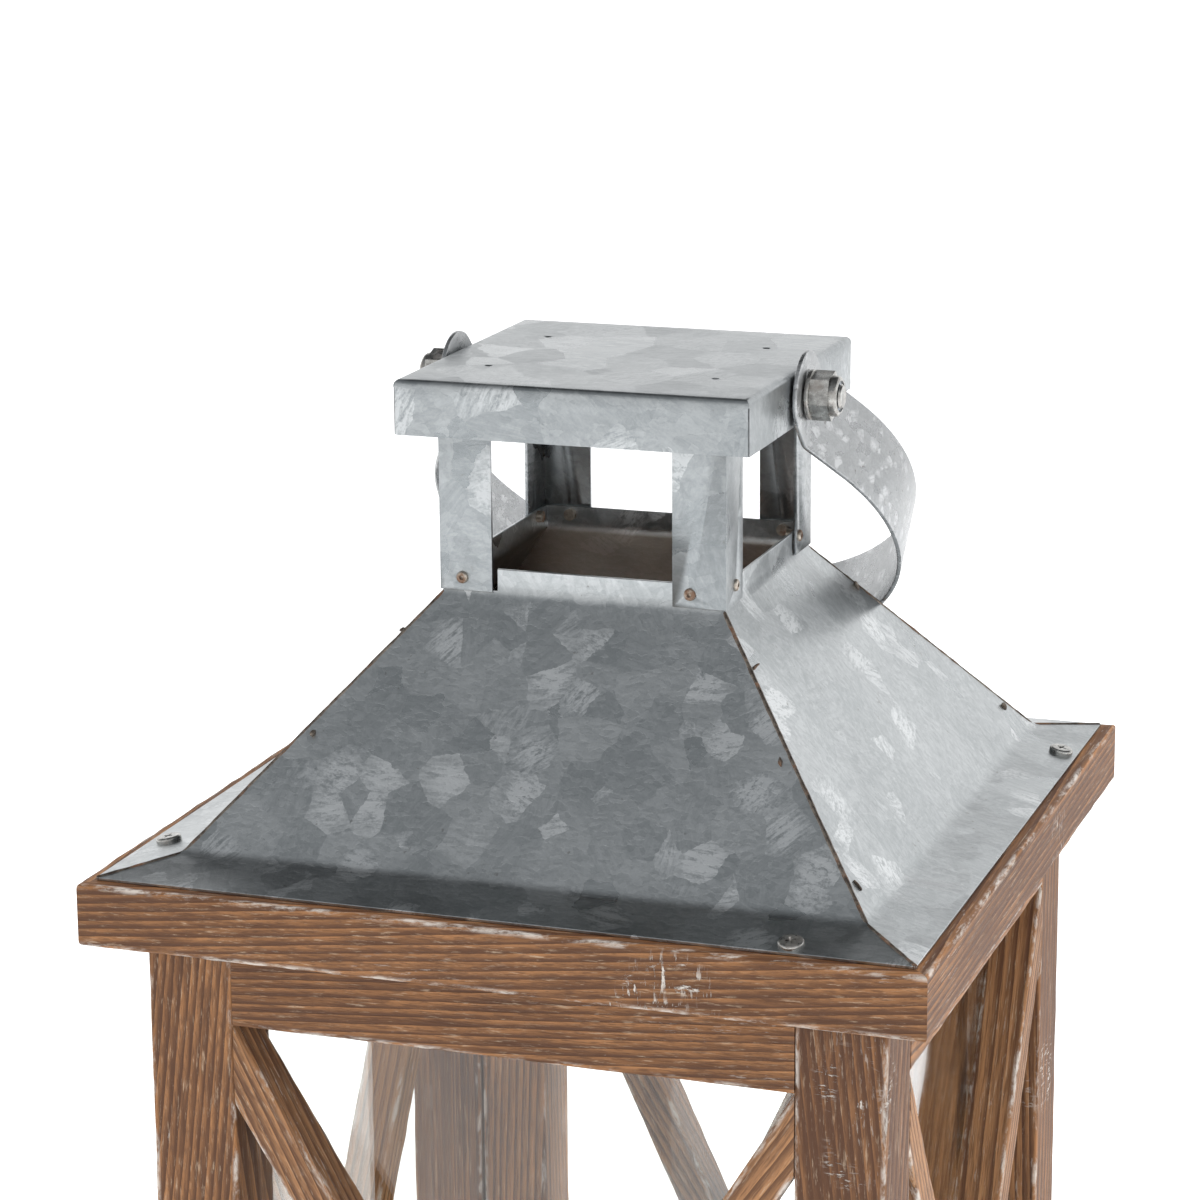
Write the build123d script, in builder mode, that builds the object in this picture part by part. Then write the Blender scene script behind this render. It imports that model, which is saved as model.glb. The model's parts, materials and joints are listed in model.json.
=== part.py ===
from build123d import *
import os
from math import cos, radians, sin, sqrt

# Candle lantern: a wooden frame with X braces and glass, a glazed door at the back, a
# galvanised sheet roof with an open cupola and cap, and a strap bail on two bolts.
# +X is right, -Y is the front, +Z is up, and the origin is the middle of the underside.

# ------------------------------------------------------------ driving dimensions, mm
WIDTH = 200.0            # base board and roof frame, outside
BOARD = 15.0             # thickness of the base board and of the roof frame
FRAME_TOP = 310.0        # top of the roof frame above the ground
BODY_HALF = 88.4         # outer face of the posts from the centre
POST = 21.0              # square section of the posts, and depth of the rails
RAIL = 20.0              # height of the rails
FRAME_BOARD = 40.0       # width of the roof frame's boards
ARRIS = 0.6              # rounding of the wooden edges

GLASS = 2.0              # thickness of the panes
GLASS_IN = 12.0          # pane's outer face behind the posts' outer face
GLASS_LAP = 4.0          # how far a pane enters its grooves
BRACE = 10.3             # face width of the braces
BRACE_DEPTH = 12.0

SHEET = 0.8              # galvanised sheet
FLANGE_OUT = 96.7        # roof flange's edge from the centre
EAVE_OUT = 82.0          # fold between flange and slope
EAVE_RISE = 3.6          # height of that fold above the roof frame
THROAT_OUT = 34.4        # outer face of the roof's upturned collar
THROAT_RISE = 58.8
COLLAR = 5.6             # height of the collar
COLLAR_SLOT = 1.8        # slot in the collar beside one cupola post

CUPOLA_LEG = 13.0        # legs of the angle posts
WELD_TAB = 20.2          # inward length of a post's top tab
CAP_HALF = 43.0
CAP_SKIRT = 13.1
CAP_RISE = 110.0         # cap's top above the roof frame
CAP_FOLD = 1.5           # outer radius of the cap's top edge
CAP_SLIT = 0.5           # open seam at each corner of the cap's skirt
CAP_SLIT_LONG = 6.0
WELD_X = 28.0            # spot weld dimples in the cap
WELD_Y = 20.5
WELD_R = 1.5
WELD_DEEP = 0.35
CUPOLA_GAP = 0.1         # between the cupola's posts and the roof's fold
SLOT_UNDER_POST = 0.6    # how far the collar's slot runs behind the post's leg

PIVOT_RISE = 103.4       # bail's pivot above the roof frame
BAIL_WIDTH = 21.0
BAIL_SHEET = 1.1
BAIL_EYE_X = 43.5        # inner face of the eyes from the centre
BAIL_DROOP = 43.4        # angle of the resting bail below level
ARCH_RADIUS = 58.15      # inner radius of the bail's arch
ARCH_CENTRE = 48.0       # arch's centre from the pivot
LEG_START = 7.0          # where the leg bends out of the eye, from the pivot
ARCH_START = 20.0        # where the leg meets the arch, from the pivot
BAIL_BEND = 4.0          # radius of the bends in the bail's legs
BOLT_R = 3.0             # M6 pivot bolts
BOLT_HEAD = 3.2
BOLT_HEAD_R = 5.2
BOLT_PROUD = 0.6         # bolt's end beyond its nut
WASHER = 1.0
WASHER_R = 6.0
WASHER_GAP = 0.35        # play between bail and washer
NUT_FLATS = 5.2          # half the width across the nut's flats
NUT_HEX = 4.6            # height of the nut's hexagon
NUT_LONG = 6.4           # nut's whole height
NUT_COLLAR_R = 5.0
NUT_COLLAR_TAPER = 18
HINGE_PLAY = 0.05        # radial running clearance

DOOR_GAP = 0.6           # gap beside the door
DOOR_SILL = 1.0          # gap above and below it
DOOR_THICK = 20.0
STILE = 18.0
DOOR_BEVEL = 1.8         # taper of the free edge, which lets it swing out
HINGE_LONG = 25.0
HINGE_PLATE = 1.0
HINGE_REACH = 12.0       # leaf's edge from the pin
PIN_R = 1.0
KNUCKLE_R = 2.0
PIN_STAND = 2.4          # pin's axis behind the posts' back face
KNUCKLE = 8.0            # length of one knuckle
KNUCKLE_GAP = 0.4
HINGE_HEIGHTS = (65.0, 245.0)
LEAF_EDGE = 2.4          # leaf's plate from the pin
SCREW_REACH = 7.6        # hinge screws from the pin
SCREW_INSET = 5.0        # hinge screws from the leaf's ends
HINGE_SCREW_R = 1.1
HINGE_HEAD_R = 2.1
HINGE_SCREW_LONG = 9.0
KNOB_X = 57.8
KNOB_Z = 155.0
KNOB_OUT = 11.0
KNOB_FOOT_R = 5.0
KNOB_FOOT = 1.0
KNOB_NECK_R = 3.2
KNOB_NECK_LOW = 1.8      # neck's ends, out from the stile
KNOB_NECK_HIGH = 4.0
KNOB_BELLY = (6.8, 7.0)  # widest point: distance from the axis, distance out
KNOB_CROWN = (5.6, 10.2)
KNOB_SCREW_R = 1.5
KNOB_SCREW_HEAD = 1.8
KNOB_SCREW_GRIP = 6.0    # screw's length inside the knob
STRIKE_SHEET = 1.0
STRIKE_LONG = 24.0
STRIKE_HIGH = 7.0
STRIKE_DOWN = 5.5        # strike's middle below the roof frame's underside
CATCH_GAP = 0.5          # between the catch and the closed door
CATCH_INSET = 0.4        # catch's inner face from the roof frame's inner edge
CATCH_HIGH = 9.0
CATCH_CORNER = 1.0
CATCH_HALF = 17.0
CATCH_SCREWS = 24.0      # between the catch's two screws
CATCH_SCREW_R = 1.0
CATCH_SCREW_GRIP = 8.0   # screw's length in the roof frame
CATCH_HEAD_R = 2.0
CATCH_HEAD = 1.2

# ------------------------------------------------------------ derived dimensions
HALF = WIDTH / 2
BODY_IN = BODY_HALF - POST
BODY_TOP = FRAME_TOP - BOARD
OPEN_LOW = BOARD + RAIL
OPEN_HIGH = BODY_TOP - RAIL
CAP_TOP = FRAME_TOP + CAP_RISE
CAP_LOW = CAP_TOP - CAP_SKIRT
CUPOLA_HALF = THROAT_OUT + SHEET
CUPOLA_LOW = FRAME_TOP + THROAT_RISE + CUPOLA_GAP
CUPOLA_TOP = CAP_TOP - SHEET
PIVOT_Z = FRAME_TOP + PIVOT_RISE
DOOR_HALF = BODY_IN - DOOR_GAP
DOOR_LOW = BOARD + DOOR_SILL
DOOR_HIGH = BODY_TOP - DOOR_SILL
DOOR_OPEN_HALF = DOOR_HALF - STILE
DOOR_IN = BODY_HALF - DOOR_THICK
PIN_X = -BODY_IN + DOOR_GAP / 2
PIN_Y = BODY_HALF + PIN_STAND
WASHER_X = BAIL_EYE_X + BAIL_SHEET + WASHER_GAP
NUT_X = WASHER_X + WASHER
BOLT_END = NUT_X + NUT_LONG + BOLT_PROUD
STRIKE_Z = BODY_TOP - STRIKE_DOWN
CATCH_OUT = DOOR_IN - CATCH_GAP
CATCH_IN = HALF - FRAME_BOARD + CATCH_INSET
CATCH_MIDDLE = (CATCH_OUT + CATCH_IN) / 2

SIDES = {"front": 0, "right": 90, "back": 180, "left": 270}
FIXED_SIDES = ("front", "right", "left")
CORNERS = {"front_left": (-1, -1), "front_right": (1, -1), "back_left": (-1, 1), "back_right": (1, 1)}
# Collars with a slot: -1 puts it at the side's left end, 1 at its right.
SLOTTED_SIDES = {"front": -1, "right": 1}
# One roof screw on each side: distance along the side, distance out from the centre.
ROOF_SCREWS = {"front": (68.0, 93.4), "right": (66.0, 92.7), "back": (68.0, 93.4), "left": (70.0, 91.0)}
ROOF_SCREW_R = 1.5
ROOF_SCREW_LONG = 12.0
SCREW_HEAD_R = 3.0
SCREW_HEAD = 1.7
SCREW_HEAD_TAPER = 22
SCREW_HOLE_PLAY = 0.2    # sheet's hole wider than the screw, on the radius
SCREW_SEAT = 0.02        # head's underside above the sheet
RECESS_LONG = 2.8        # cross recess
RECESS_WIDE = 0.6
RECESS_DEEP = 0.9
RECESS_TURN = 30
# Rivets through post and collar: two distances along each side, height above the frame.
RIVETS = {"front": (-29.7, 26.4, 62.0), "right": (-27.7, 24.9, 63.2),
          "back": (-28.6, 27.2, 62.4), "left": (-26.8, 28.4, 62.8)}
RIVET_R = 0.8
RIVET_HEAD_R = 1.4
RIVET_HEAD = 0.64
RIVET_HEAD_TAPER = 30
RIVET_TAIL_R = 1.2


def outward(side):
    """Unit vector out of one side."""
    angle = radians(SIDES[side])
    return Vector(sin(angle), -cos(angle), 0)


def along(side):
    """Unit vector along one side, left to right as seen from outside."""
    angle = radians(SIDES[side])
    return Vector(cos(angle), sin(angle), 0)


def side_plane(side, out):
    """Plane facing out of one side: x along it, y up from the ground."""
    return Plane(origin=outward(side) * out, x_dir=along(side), z_dir=outward(side))


def section_plane(side, height=0.0):
    """Plane across one side: x out from the centre, y up from the given height."""
    return Plane(origin=(0, 0, height), x_dir=outward(side), z_dir=along(side) * -1)


def on_side(side, distance, out):
    """Plan position given by its distance along a side and out from the centre."""
    spot = along(side) * distance + outward(side) * out
    return (spot.X, spot.Y)


def mitre(side):
    """Cut the part being built to one side's quarter of the plan."""
    for hand in (-1, 1):
        normal = outward(side) + along(side) * hand
        split(bisect_by=Plane(origin=(0, 0, 0), z_dir=normal), keep=Keep.TOP)


def save(part, label):
    """Label one finished piece and write it."""
    part.label = label
    export_step(part, f"parts/{label}.step")


# ------------------------------------------------------------ wooden frame
def pane(side, mode):
    """Glass pane of a fixed side, or the grooves that hold it."""
    with BuildSketch(side_plane(side, BODY_HALF - GLASS_IN)) as outline:
        with Locations((0, (OPEN_LOW + OPEN_HIGH) / 2)):
            Rectangle(2 * (BODY_IN + GLASS_LAP), OPEN_HIGH - OPEN_LOW + 2 * GLASS_LAP)
    extrude(outline.sketch, amount=-GLASS, mode=mode)


def base_board():
    with BuildPart() as base:
        with BuildSketch():
            Rectangle(WIDTH, WIDTH)
        extrude(amount=BOARD)
        fillet(base.edges(), radius=ARRIS)
    save(base.part, "base_board")


def post(corner):
    x_sign, y_sign = CORNERS[corner]
    middle = BODY_HALF - POST / 2
    with BuildPart() as upright:
        with BuildSketch(Plane.XY.offset(BOARD)):
            with Locations((x_sign * middle, y_sign * middle)):
                RectangleRounded(POST, POST, ARRIS)
        extrude(amount=BODY_TOP - BOARD)
        pane("right" if x_sign > 0 else "left", Mode.SUBTRACT)
        if y_sign < 0:
            pane("front", Mode.SUBTRACT)
        if corner == "back_left":
            hinge_screws(-1, Mode.SUBTRACT)
    save(upright.part, f"post_{corner}")


def roof_frame_board(side):
    distance, out = ROOF_SCREWS[side]
    with BuildPart() as board:
        with BuildSketch(section_plane(side, BODY_TOP)):
            with Locations((HALF - FRAME_BOARD / 2, BOARD / 2)):
                RectangleRounded(FRAME_BOARD, BOARD, ARRIS)
        extrude(amount=HALF, both=True)
        mitre(side)
        with BuildSketch(Plane.XY.offset(FRAME_TOP)):
            with Locations(on_side(side, distance, out)):
                Circle(ROOF_SCREW_R)
        extrude(amount=-ROOF_SCREW_LONG, mode=Mode.SUBTRACT)
        if side == "back":
            catch_screws(Mode.SUBTRACT)
    save(board.part, f"roof_frame_{side}")


def rail(side, label, low):
    with BuildPart() as bar:
        with BuildSketch(section_plane(side, low)):
            with Locations((BODY_HALF - POST / 2, RAIL / 2)):
                RectangleRounded(POST, RAIL, ARRIS)
        extrude(amount=BODY_IN, both=True)
        pane(side, Mode.SUBTRACT)
    save(bar.part, f"{label}_rail_{side}")


def brace_corners(half, low, high, hand):
    """Corners of a slanted bar between uprights; hand +1 falls to the right, -1 to the left."""
    run = 2 * half
    rise = high - low
    # The bar's vertical cut follows from its face width and its slope.
    cut = BRACE * rise / run
    for _ in range(20):
        cut = BRACE * sqrt(1 + ((rise - cut) / run) ** 2)
    return [(-half * hand, high), (-half * hand, high - cut), (half * hand, low),
            (half * hand, low + cut)]


def brace(side, half, low, high, hand, label):
    """One bar of an X, halved where the other crosses it."""
    halved = BODY_HALF if hand > 0 else BODY_HALF - BRACE_DEPTH / 2
    with BuildPart() as bar:
        with BuildSketch(side_plane(side, BODY_HALF)):
            Polygon(*brace_corners(half, low, high, hand), align=None)
        extrude(amount=-BRACE_DEPTH)
        long_edges = bar.edges().filter_by(lambda edge: edge.length > (high - low) * 0.8)
        fillet(long_edges, radius=ARRIS)
        with BuildSketch(side_plane(side, halved)):
            Polygon(*brace_corners(half, low, high, -hand), align=None)
        extrude(amount=-BRACE_DEPTH / 2, mode=Mode.SUBTRACT)
    save(bar.part, label)


def fixed_glass(side):
    with BuildPart() as glass:
        pane(side, Mode.ADD)
    save(glass.part, f"glass_{side}")


# ------------------------------------------------------------ sheet metal roof
def flange_top(out):
    """Height of the flange's upper face above the roof frame."""
    return SHEET + (FLANGE_OUT - out) * (EAVE_RISE - SHEET) / (FLANGE_OUT - EAVE_OUT)


def rivet_holes(side):
    """Holes through post and collar on one side."""
    left, right, rise = RIVETS[side]
    with BuildSketch(side_plane(side, CUPOLA_HALF)) as holes:
        with Locations((left, FRAME_TOP + rise), (right, FRAME_TOP + rise)):
            Circle(RIVET_R)
    extrude(holes.sketch, amount=-2 * SHEET, mode=Mode.SUBTRACT)


def roof_panel(side):
    distance, out = ROOF_SCREWS[side]
    collar_top = THROAT_RISE + COLLAR
    with BuildPart() as panel:
        with BuildSketch(section_plane(side, FRAME_TOP)):
            with BuildLine():
                Polyline((FLANGE_OUT, SHEET), (EAVE_OUT, EAVE_RISE), (THROAT_OUT, THROAT_RISE),
                         (THROAT_OUT, collar_top))
                offset(amount=SHEET, side=Side.LEFT)
            make_face()
        extrude(amount=HALF, both=True)
        mitre(side)
        if side in SLOTTED_SIDES:
            slot_middle = SLOTTED_SIDES[side] * (CUPOLA_HALF - CUPOLA_LEG - COLLAR_SLOT / 2 + SLOT_UNDER_POST)
            with BuildSketch(side_plane(side, THROAT_OUT)):
                with Locations((slot_middle, FRAME_TOP + THROAT_RISE + COLLAR / 2)):
                    Rectangle(COLLAR_SLOT, COLLAR)
            extrude(amount=-SHEET, mode=Mode.SUBTRACT)
        with BuildSketch(Plane.XY.offset(FRAME_TOP)):
            with Locations(on_side(side, distance, out)):
                Circle(ROOF_SCREW_R + SCREW_HOLE_PLAY)
        extrude(amount=EAVE_RISE, mode=Mode.SUBTRACT)
        rivet_holes(side)
    save(panel.part, f"roof_panel_{side}")


def roof_screws():
    with BuildPart() as screws:
        for side, (distance, out) in ROOF_SCREWS.items():
            spot = on_side(side, distance, out)
            seat = FRAME_TOP + flange_top(out - SCREW_HEAD_R) + SCREW_SEAT
            with BuildSketch(Plane.XY.offset(FRAME_TOP - ROOF_SCREW_LONG)):
                with Locations(spot):
                    Circle(ROOF_SCREW_R)
            extrude(amount=seat - FRAME_TOP + ROOF_SCREW_LONG)
            with BuildSketch(Plane.XY.offset(seat)):
                with Locations(spot):
                    Circle(SCREW_HEAD_R)
            extrude(amount=SCREW_HEAD, taper=SCREW_HEAD_TAPER)
            with BuildSketch(Plane.XY.offset(seat + SCREW_HEAD)):
                with Locations(Location(spot + (0,), (0, 0, RECESS_TURN))):
                    Rectangle(RECESS_LONG, RECESS_WIDE)
                    Rectangle(RECESS_WIDE, RECESS_LONG)
            extrude(amount=-RECESS_DEEP, mode=Mode.SUBTRACT)
    save(screws.part, "roof_screws")


def cupola_post(corner):
    x_sign, y_sign = CORNERS[corner]
    leg_middle = CUPOLA_HALF - CUPOLA_LEG / 2
    wall_middle = CUPOLA_HALF - SHEET / 2
    with BuildPart() as angle:
        with BuildSketch(Plane.XY.offset(CUPOLA_LOW)):
            with Locations((x_sign * leg_middle, y_sign * wall_middle)):
                Rectangle(CUPOLA_LEG, SHEET)
            with Locations((x_sign * wall_middle, y_sign * leg_middle)):
                Rectangle(SHEET, CUPOLA_LEG)
        extrude(amount=CUPOLA_TOP - CUPOLA_LOW)
        with BuildSketch(Plane.XY.offset(CUPOLA_TOP)):
            with Locations((x_sign * leg_middle, y_sign * (CUPOLA_HALF - WELD_TAB / 2))):
                Rectangle(CUPOLA_LEG, WELD_TAB)
        extrude(amount=-SHEET)
        rivet_holes("right" if x_sign > 0 else "left")
        rivet_holes("back" if y_sign > 0 else "front")
    save(angle.part, f"cupola_post_{corner}")


def rivets():
    with BuildPart() as pins:
        for side, (left, right, rise) in RIVETS.items():
            for distance in (left, right):
                spot = (distance, FRAME_TOP + rise)
                with BuildSketch(side_plane(side, CUPOLA_HALF)):
                    with Locations(spot):
                        Circle(RIVET_HEAD_R)
                extrude(amount=RIVET_HEAD, taper=RIVET_HEAD_TAPER)
                with BuildSketch(side_plane(side, CUPOLA_HALF)):
                    with Locations(spot):
                        Circle(RIVET_R)
                extrude(amount=-2 * SHEET)
                with BuildSketch(side_plane(side, THROAT_OUT - SHEET)):
                    with Locations(spot):
                        Circle(RIVET_TAIL_R)
                extrude(amount=-SHEET)
    save(pins.part, "rivets")


def cap():
    with BuildPart() as lid:
        with BuildSketch(Plane.XY.offset(CAP_LOW)):
            Rectangle(2 * CAP_HALF, 2 * CAP_HALF)
        extrude(amount=CAP_SKIRT)
        fillet(lid.faces().sort_by(Axis.Z)[-1].edges(), radius=CAP_FOLD)
        with BuildSketch(Plane.XY.offset(CAP_LOW)):
            Rectangle(2 * (CAP_HALF - SHEET), 2 * (CAP_HALF - SHEET))
        extrude(amount=CAP_SKIRT - SHEET, mode=Mode.SUBTRACT)
        # The skirts are folded down separately, so each corner is an open seam.
        with BuildSketch(Plane.XY.offset(CAP_LOW)):
            with PolarLocations(CAP_HALF * sqrt(2), 4, start_angle=45):
                Rectangle(CAP_SLIT_LONG, CAP_SLIT)
        extrude(amount=CAP_SKIRT - CAP_FOLD, mode=Mode.SUBTRACT)
        with BuildSketch(Plane.YZ):
            with Locations((0, PIVOT_Z)):
                Circle(BOLT_R)
        extrude(amount=CAP_HALF, both=True, mode=Mode.SUBTRACT)
        with Locations((0, 0, CAP_TOP + WELD_R - WELD_DEEP)):
            with GridLocations(2 * WELD_X, 2 * WELD_Y, 2, 2):
                Sphere(WELD_R, mode=Mode.SUBTRACT)
    save(lid.part, "cap")


# ------------------------------------------------------------ bail and its pivots
def bail():
    droop = radians(BAIL_DROOP)
    reach = Vector(0, cos(droop), -sin(droop))
    across = Vector(0, sin(droop), cos(droop))
    pivot = (0, 0, PIVOT_Z)
    arch_x = sqrt(ARCH_RADIUS ** 2 - (ARCH_CENTRE - ARCH_START) ** 2)
    with BuildPart() as strap:
        with BuildSketch(Plane(origin=pivot, x_dir=(1, 0, 0), z_dir=across)):
            with BuildLine() as bend:
                FilletPolyline((BAIL_EYE_X, -BAIL_WIDTH / 2), (BAIL_EYE_X, LEG_START),
                               (arch_x, ARCH_START), radius=BAIL_BEND)
                ThreePointArc((arch_x, ARCH_START), (0, ARCH_CENTRE + ARCH_RADIUS),
                              (-arch_x, ARCH_START))
                FilletPolyline((-BAIL_EYE_X, -BAIL_WIDTH / 2), (-BAIL_EYE_X, LEG_START),
                               (-arch_x, ARCH_START), radius=BAIL_BEND)
                offset(amount=BAIL_SHEET, side=Side.RIGHT)
            make_face()
        extrude(amount=BAIL_WIDTH / 2, both=True)
        with BuildSketch(Plane(origin=pivot, x_dir=reach, z_dir=(1, 0, 0))):
            with Locations((-BAIL_WIDTH / 4, 0)):
                Rectangle(BAIL_WIDTH / 2, BAIL_WIDTH)
            Circle(BAIL_WIDTH / 2, mode=Mode.SUBTRACT)
            Circle(BOLT_R + HINGE_PLAY)
        extrude(amount=BAIL_EYE_X + 2 * BAIL_SHEET, both=True, mode=Mode.SUBTRACT)
    save(strap.part, "bail")


def pivot_disc(radius, start, long, hand, mode=Mode.ADD):
    """Round solid on the bail's pivot line, from start outwards on one hand."""
    plane = Plane(origin=(hand * start, 0, PIVOT_Z), x_dir=(0, 1, 0), z_dir=(hand, 0, 0))
    with BuildSketch(plane) as disc:
        Circle(radius)
    extrude(disc.sketch, amount=long, mode=mode)


def pivot_bolts():
    head_x = CAP_HALF - SHEET - BOLT_HEAD
    with BuildPart() as bolts:
        for hand in (-1, 1):
            pivot_disc(BOLT_HEAD_R, head_x, BOLT_HEAD, hand)
            pivot_disc(BOLT_R, head_x, BOLT_END - head_x, hand)
    save(bolts.part, "pivot_bolts")


def pivot_washers():
    with BuildPart() as washers:
        for hand in (-1, 1):
            pivot_disc(WASHER_R, WASHER_X, WASHER, hand)
            pivot_disc(BOLT_R, WASHER_X, WASHER, hand, Mode.SUBTRACT)
    save(washers.part, "pivot_washers")


def lock_nuts():
    with BuildPart() as nuts:
        for hand in (-1, 1):
            plane = Plane(origin=(hand * NUT_X, 0, PIVOT_Z), x_dir=(0, 1, 0), z_dir=(hand, 0, 0))
            with BuildSketch(plane):
                RegularPolygon(NUT_FLATS, 6, major_radius=False)
            extrude(amount=NUT_HEX)
            with BuildSketch(plane.offset(NUT_HEX)):
                Circle(NUT_COLLAR_R)
            extrude(amount=NUT_LONG - NUT_HEX, taper=NUT_COLLAR_TAPER)
            pivot_disc(BOLT_R, NUT_X, NUT_LONG, hand, Mode.SUBTRACT)
    save(nuts.part, "lock_nuts")


# ------------------------------------------------------------ door
def door_pane(mode):
    """Door's pane, or the grooves that hold it."""
    with BuildSketch(side_plane("back", BODY_HALF - GLASS_IN)) as outline:
        with Locations((0, (DOOR_LOW + DOOR_HIGH) / 2)):
            Rectangle(2 * (DOOR_OPEN_HALF + GLASS_LAP), DOOR_HIGH - DOOR_LOW - 2 * (RAIL - GLASS_LAP))
    extrude(outline.sketch, amount=-GLASS, mode=mode)


def door_stile(label, hand):
    with BuildPart() as stile:
        with BuildSketch(Plane.XY.offset(DOOR_LOW)):
            with Locations((hand * (DOOR_HALF - STILE / 2), BODY_HALF - DOOR_THICK / 2)):
                RectangleRounded(STILE, DOOR_THICK, ARRIS)
        extrude(amount=DOOR_HIGH - DOOR_LOW)
        door_pane(Mode.SUBTRACT)
        if hand < 0:
            hinge_screws(1, Mode.SUBTRACT)
        else:
            with BuildSketch(Plane.XY.offset(DOOR_LOW)):
                with BuildLine():
                    Polyline((DOOR_HALF, BODY_HALF), (DOOR_HALF, DOOR_IN),
                             (DOOR_HALF - DOOR_BEVEL, DOOR_IN), close=True)
                make_face()
            extrude(amount=DOOR_HIGH - DOOR_LOW, mode=Mode.SUBTRACT)
            knob_disc(KNOB_SCREW_R, DOOR_IN, DOOR_THICK, Mode.SUBTRACT)
    save(stile.part, label)


def door_rail(label, low):
    with BuildPart() as bar:
        with BuildSketch(section_plane("back", low)):
            with Locations((BODY_HALF - DOOR_THICK / 2, RAIL / 2)):
                RectangleRounded(DOOR_THICK, RAIL, ARRIS)
        extrude(amount=DOOR_OPEN_HALF, both=True)
        door_pane(Mode.SUBTRACT)
        if label == "door_rail_top":
            strike(Mode.SUBTRACT)
    save(bar.part, label)


def door_glass():
    with BuildPart() as glass:
        door_pane(Mode.ADD)
    save(glass.part, "door_glass")


def knob_disc(radius, start, long, mode=Mode.ADD):
    """Round solid on the knob's axis, from start outwards."""
    plane = Plane(origin=(KNOB_X, start, KNOB_Z), x_dir=(1, 0, 0), z_dir=(0, 1, 0))
    with BuildSketch(plane) as disc:
        Circle(radius)
    extrude(disc.sketch, amount=long, mode=mode)


def door_knob():
    # Section of the turned knob: distance from its axis, distance out from the stile.
    plane = Plane(origin=(KNOB_X, BODY_HALF, KNOB_Z), x_dir=(1, 0, 0), z_dir=(0, 0, 1))
    with BuildPart() as knob:
        with BuildSketch(plane):
            with BuildLine():
                Polyline((0, KNOB_OUT), (0, 0), (KNOB_FOOT_R, 0), (KNOB_FOOT_R, KNOB_FOOT),
                         (KNOB_NECK_R, KNOB_NECK_LOW), (KNOB_NECK_R, KNOB_NECK_HIGH))
                Spline((KNOB_NECK_R, KNOB_NECK_HIGH), KNOB_BELLY, KNOB_CROWN, (0, KNOB_OUT),
                       tangents=((0.6, 1), (-1, 0)))
            make_face()
        revolve(axis=Axis((KNOB_X, BODY_HALF, KNOB_Z), (0, 1, 0)))
        knob_disc(KNOB_SCREW_R, BODY_HALF, KNOB_SCREW_GRIP, Mode.SUBTRACT)
    save(knob.part, "door_knob")


def knob_screw():
    with BuildPart() as screw:
        knob_disc(SCREW_HEAD_R, DOOR_IN - KNOB_SCREW_HEAD, KNOB_SCREW_HEAD)
        knob_disc(KNOB_SCREW_R, DOOR_IN, DOOR_THICK + KNOB_SCREW_GRIP)
    save(screw.part, "knob_screw")


def strike(mode):
    """Steel strip let into the door's inner face, or its recess."""
    plane = Plane(origin=(0, DOOR_IN, STRIKE_Z), x_dir=(1, 0, 0), z_dir=(0, 1, 0))
    with BuildSketch(plane) as strip:
        Rectangle(STRIKE_LONG, STRIKE_HIGH)
    extrude(strip.sketch, amount=STRIKE_SHEET, mode=mode)


def strike_plate():
    with BuildPart() as plate:
        strike(Mode.ADD)
    save(plate.part, "strike_plate")


def catch_screws(mode):
    """Two screws that hold the catch up to the roof frame, or their holes."""
    with BuildSketch(Plane.XY.offset(BODY_TOP - CATCH_HIGH)) as shanks:
        with Locations((0, CATCH_MIDDLE)):
            with GridLocations(CATCH_SCREWS, 1, 2, 1):
                Circle(CATCH_SCREW_R)
    extrude(shanks.sketch, amount=CATCH_HIGH + CATCH_SCREW_GRIP, mode=mode)


def magnet_catch():
    with BuildPart() as catch:
        with BuildSketch(Plane.XY.offset(BODY_TOP - CATCH_HIGH)):
            with Locations((0, CATCH_MIDDLE)):
                RectangleRounded(2 * CATCH_HALF, CATCH_OUT - CATCH_IN, CATCH_CORNER)
        extrude(amount=CATCH_HIGH)
        catch_screws(Mode.SUBTRACT)
    save(catch.part, "magnet_catch")


def catch_screw_pair():
    with BuildPart() as screws:
        catch_screws(Mode.ADD)
        with BuildSketch(Plane.XY.offset(BODY_TOP - CATCH_HIGH)):
            with Locations((0, CATCH_MIDDLE)):
                with GridLocations(CATCH_SCREWS, 1, 2, 1):
                    Circle(CATCH_HEAD_R)
        extrude(amount=-CATCH_HEAD)
    save(screws.part, "catch_screws")


# ------------------------------------------------------------ butt hinges
def pin_plane(z):
    """Plane square to the hinge pin, with its origin on the pin."""
    return Plane(origin=(PIN_X, PIN_Y, z), x_dir=(1, 0, 0), z_dir=(0, 0, 1))


def screw_spots(hand, low):
    """Plane of the leaf's outer face and the two screws' places on it."""
    plane = Plane(origin=(PIN_X, BODY_HALF + HINGE_PLATE, 0), x_dir=(1, 0, 0), z_dir=(0, -1, 0))
    heights = (low + SCREW_INSET, low + HINGE_LONG - SCREW_INSET)
    return plane, [(hand * SCREW_REACH, height) for height in heights]


def hinge_screws(hand, mode):
    """Countersunk screws of both leaves on one hand, or their holes."""
    for low in HINGE_HEIGHTS:
        plane, spots = screw_spots(hand, low)
        with BuildSketch(plane) as heads:
            with Locations(spots):
                Circle(HINGE_HEAD_R)
        extrude(heads.sketch, amount=HINGE_PLATE, taper=45, mode=mode)
        with BuildSketch(plane) as shanks:
            with Locations(spots):
                Circle(HINGE_SCREW_R)
        extrude(shanks.sketch, amount=HINGE_SCREW_LONG, mode=mode)


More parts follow.
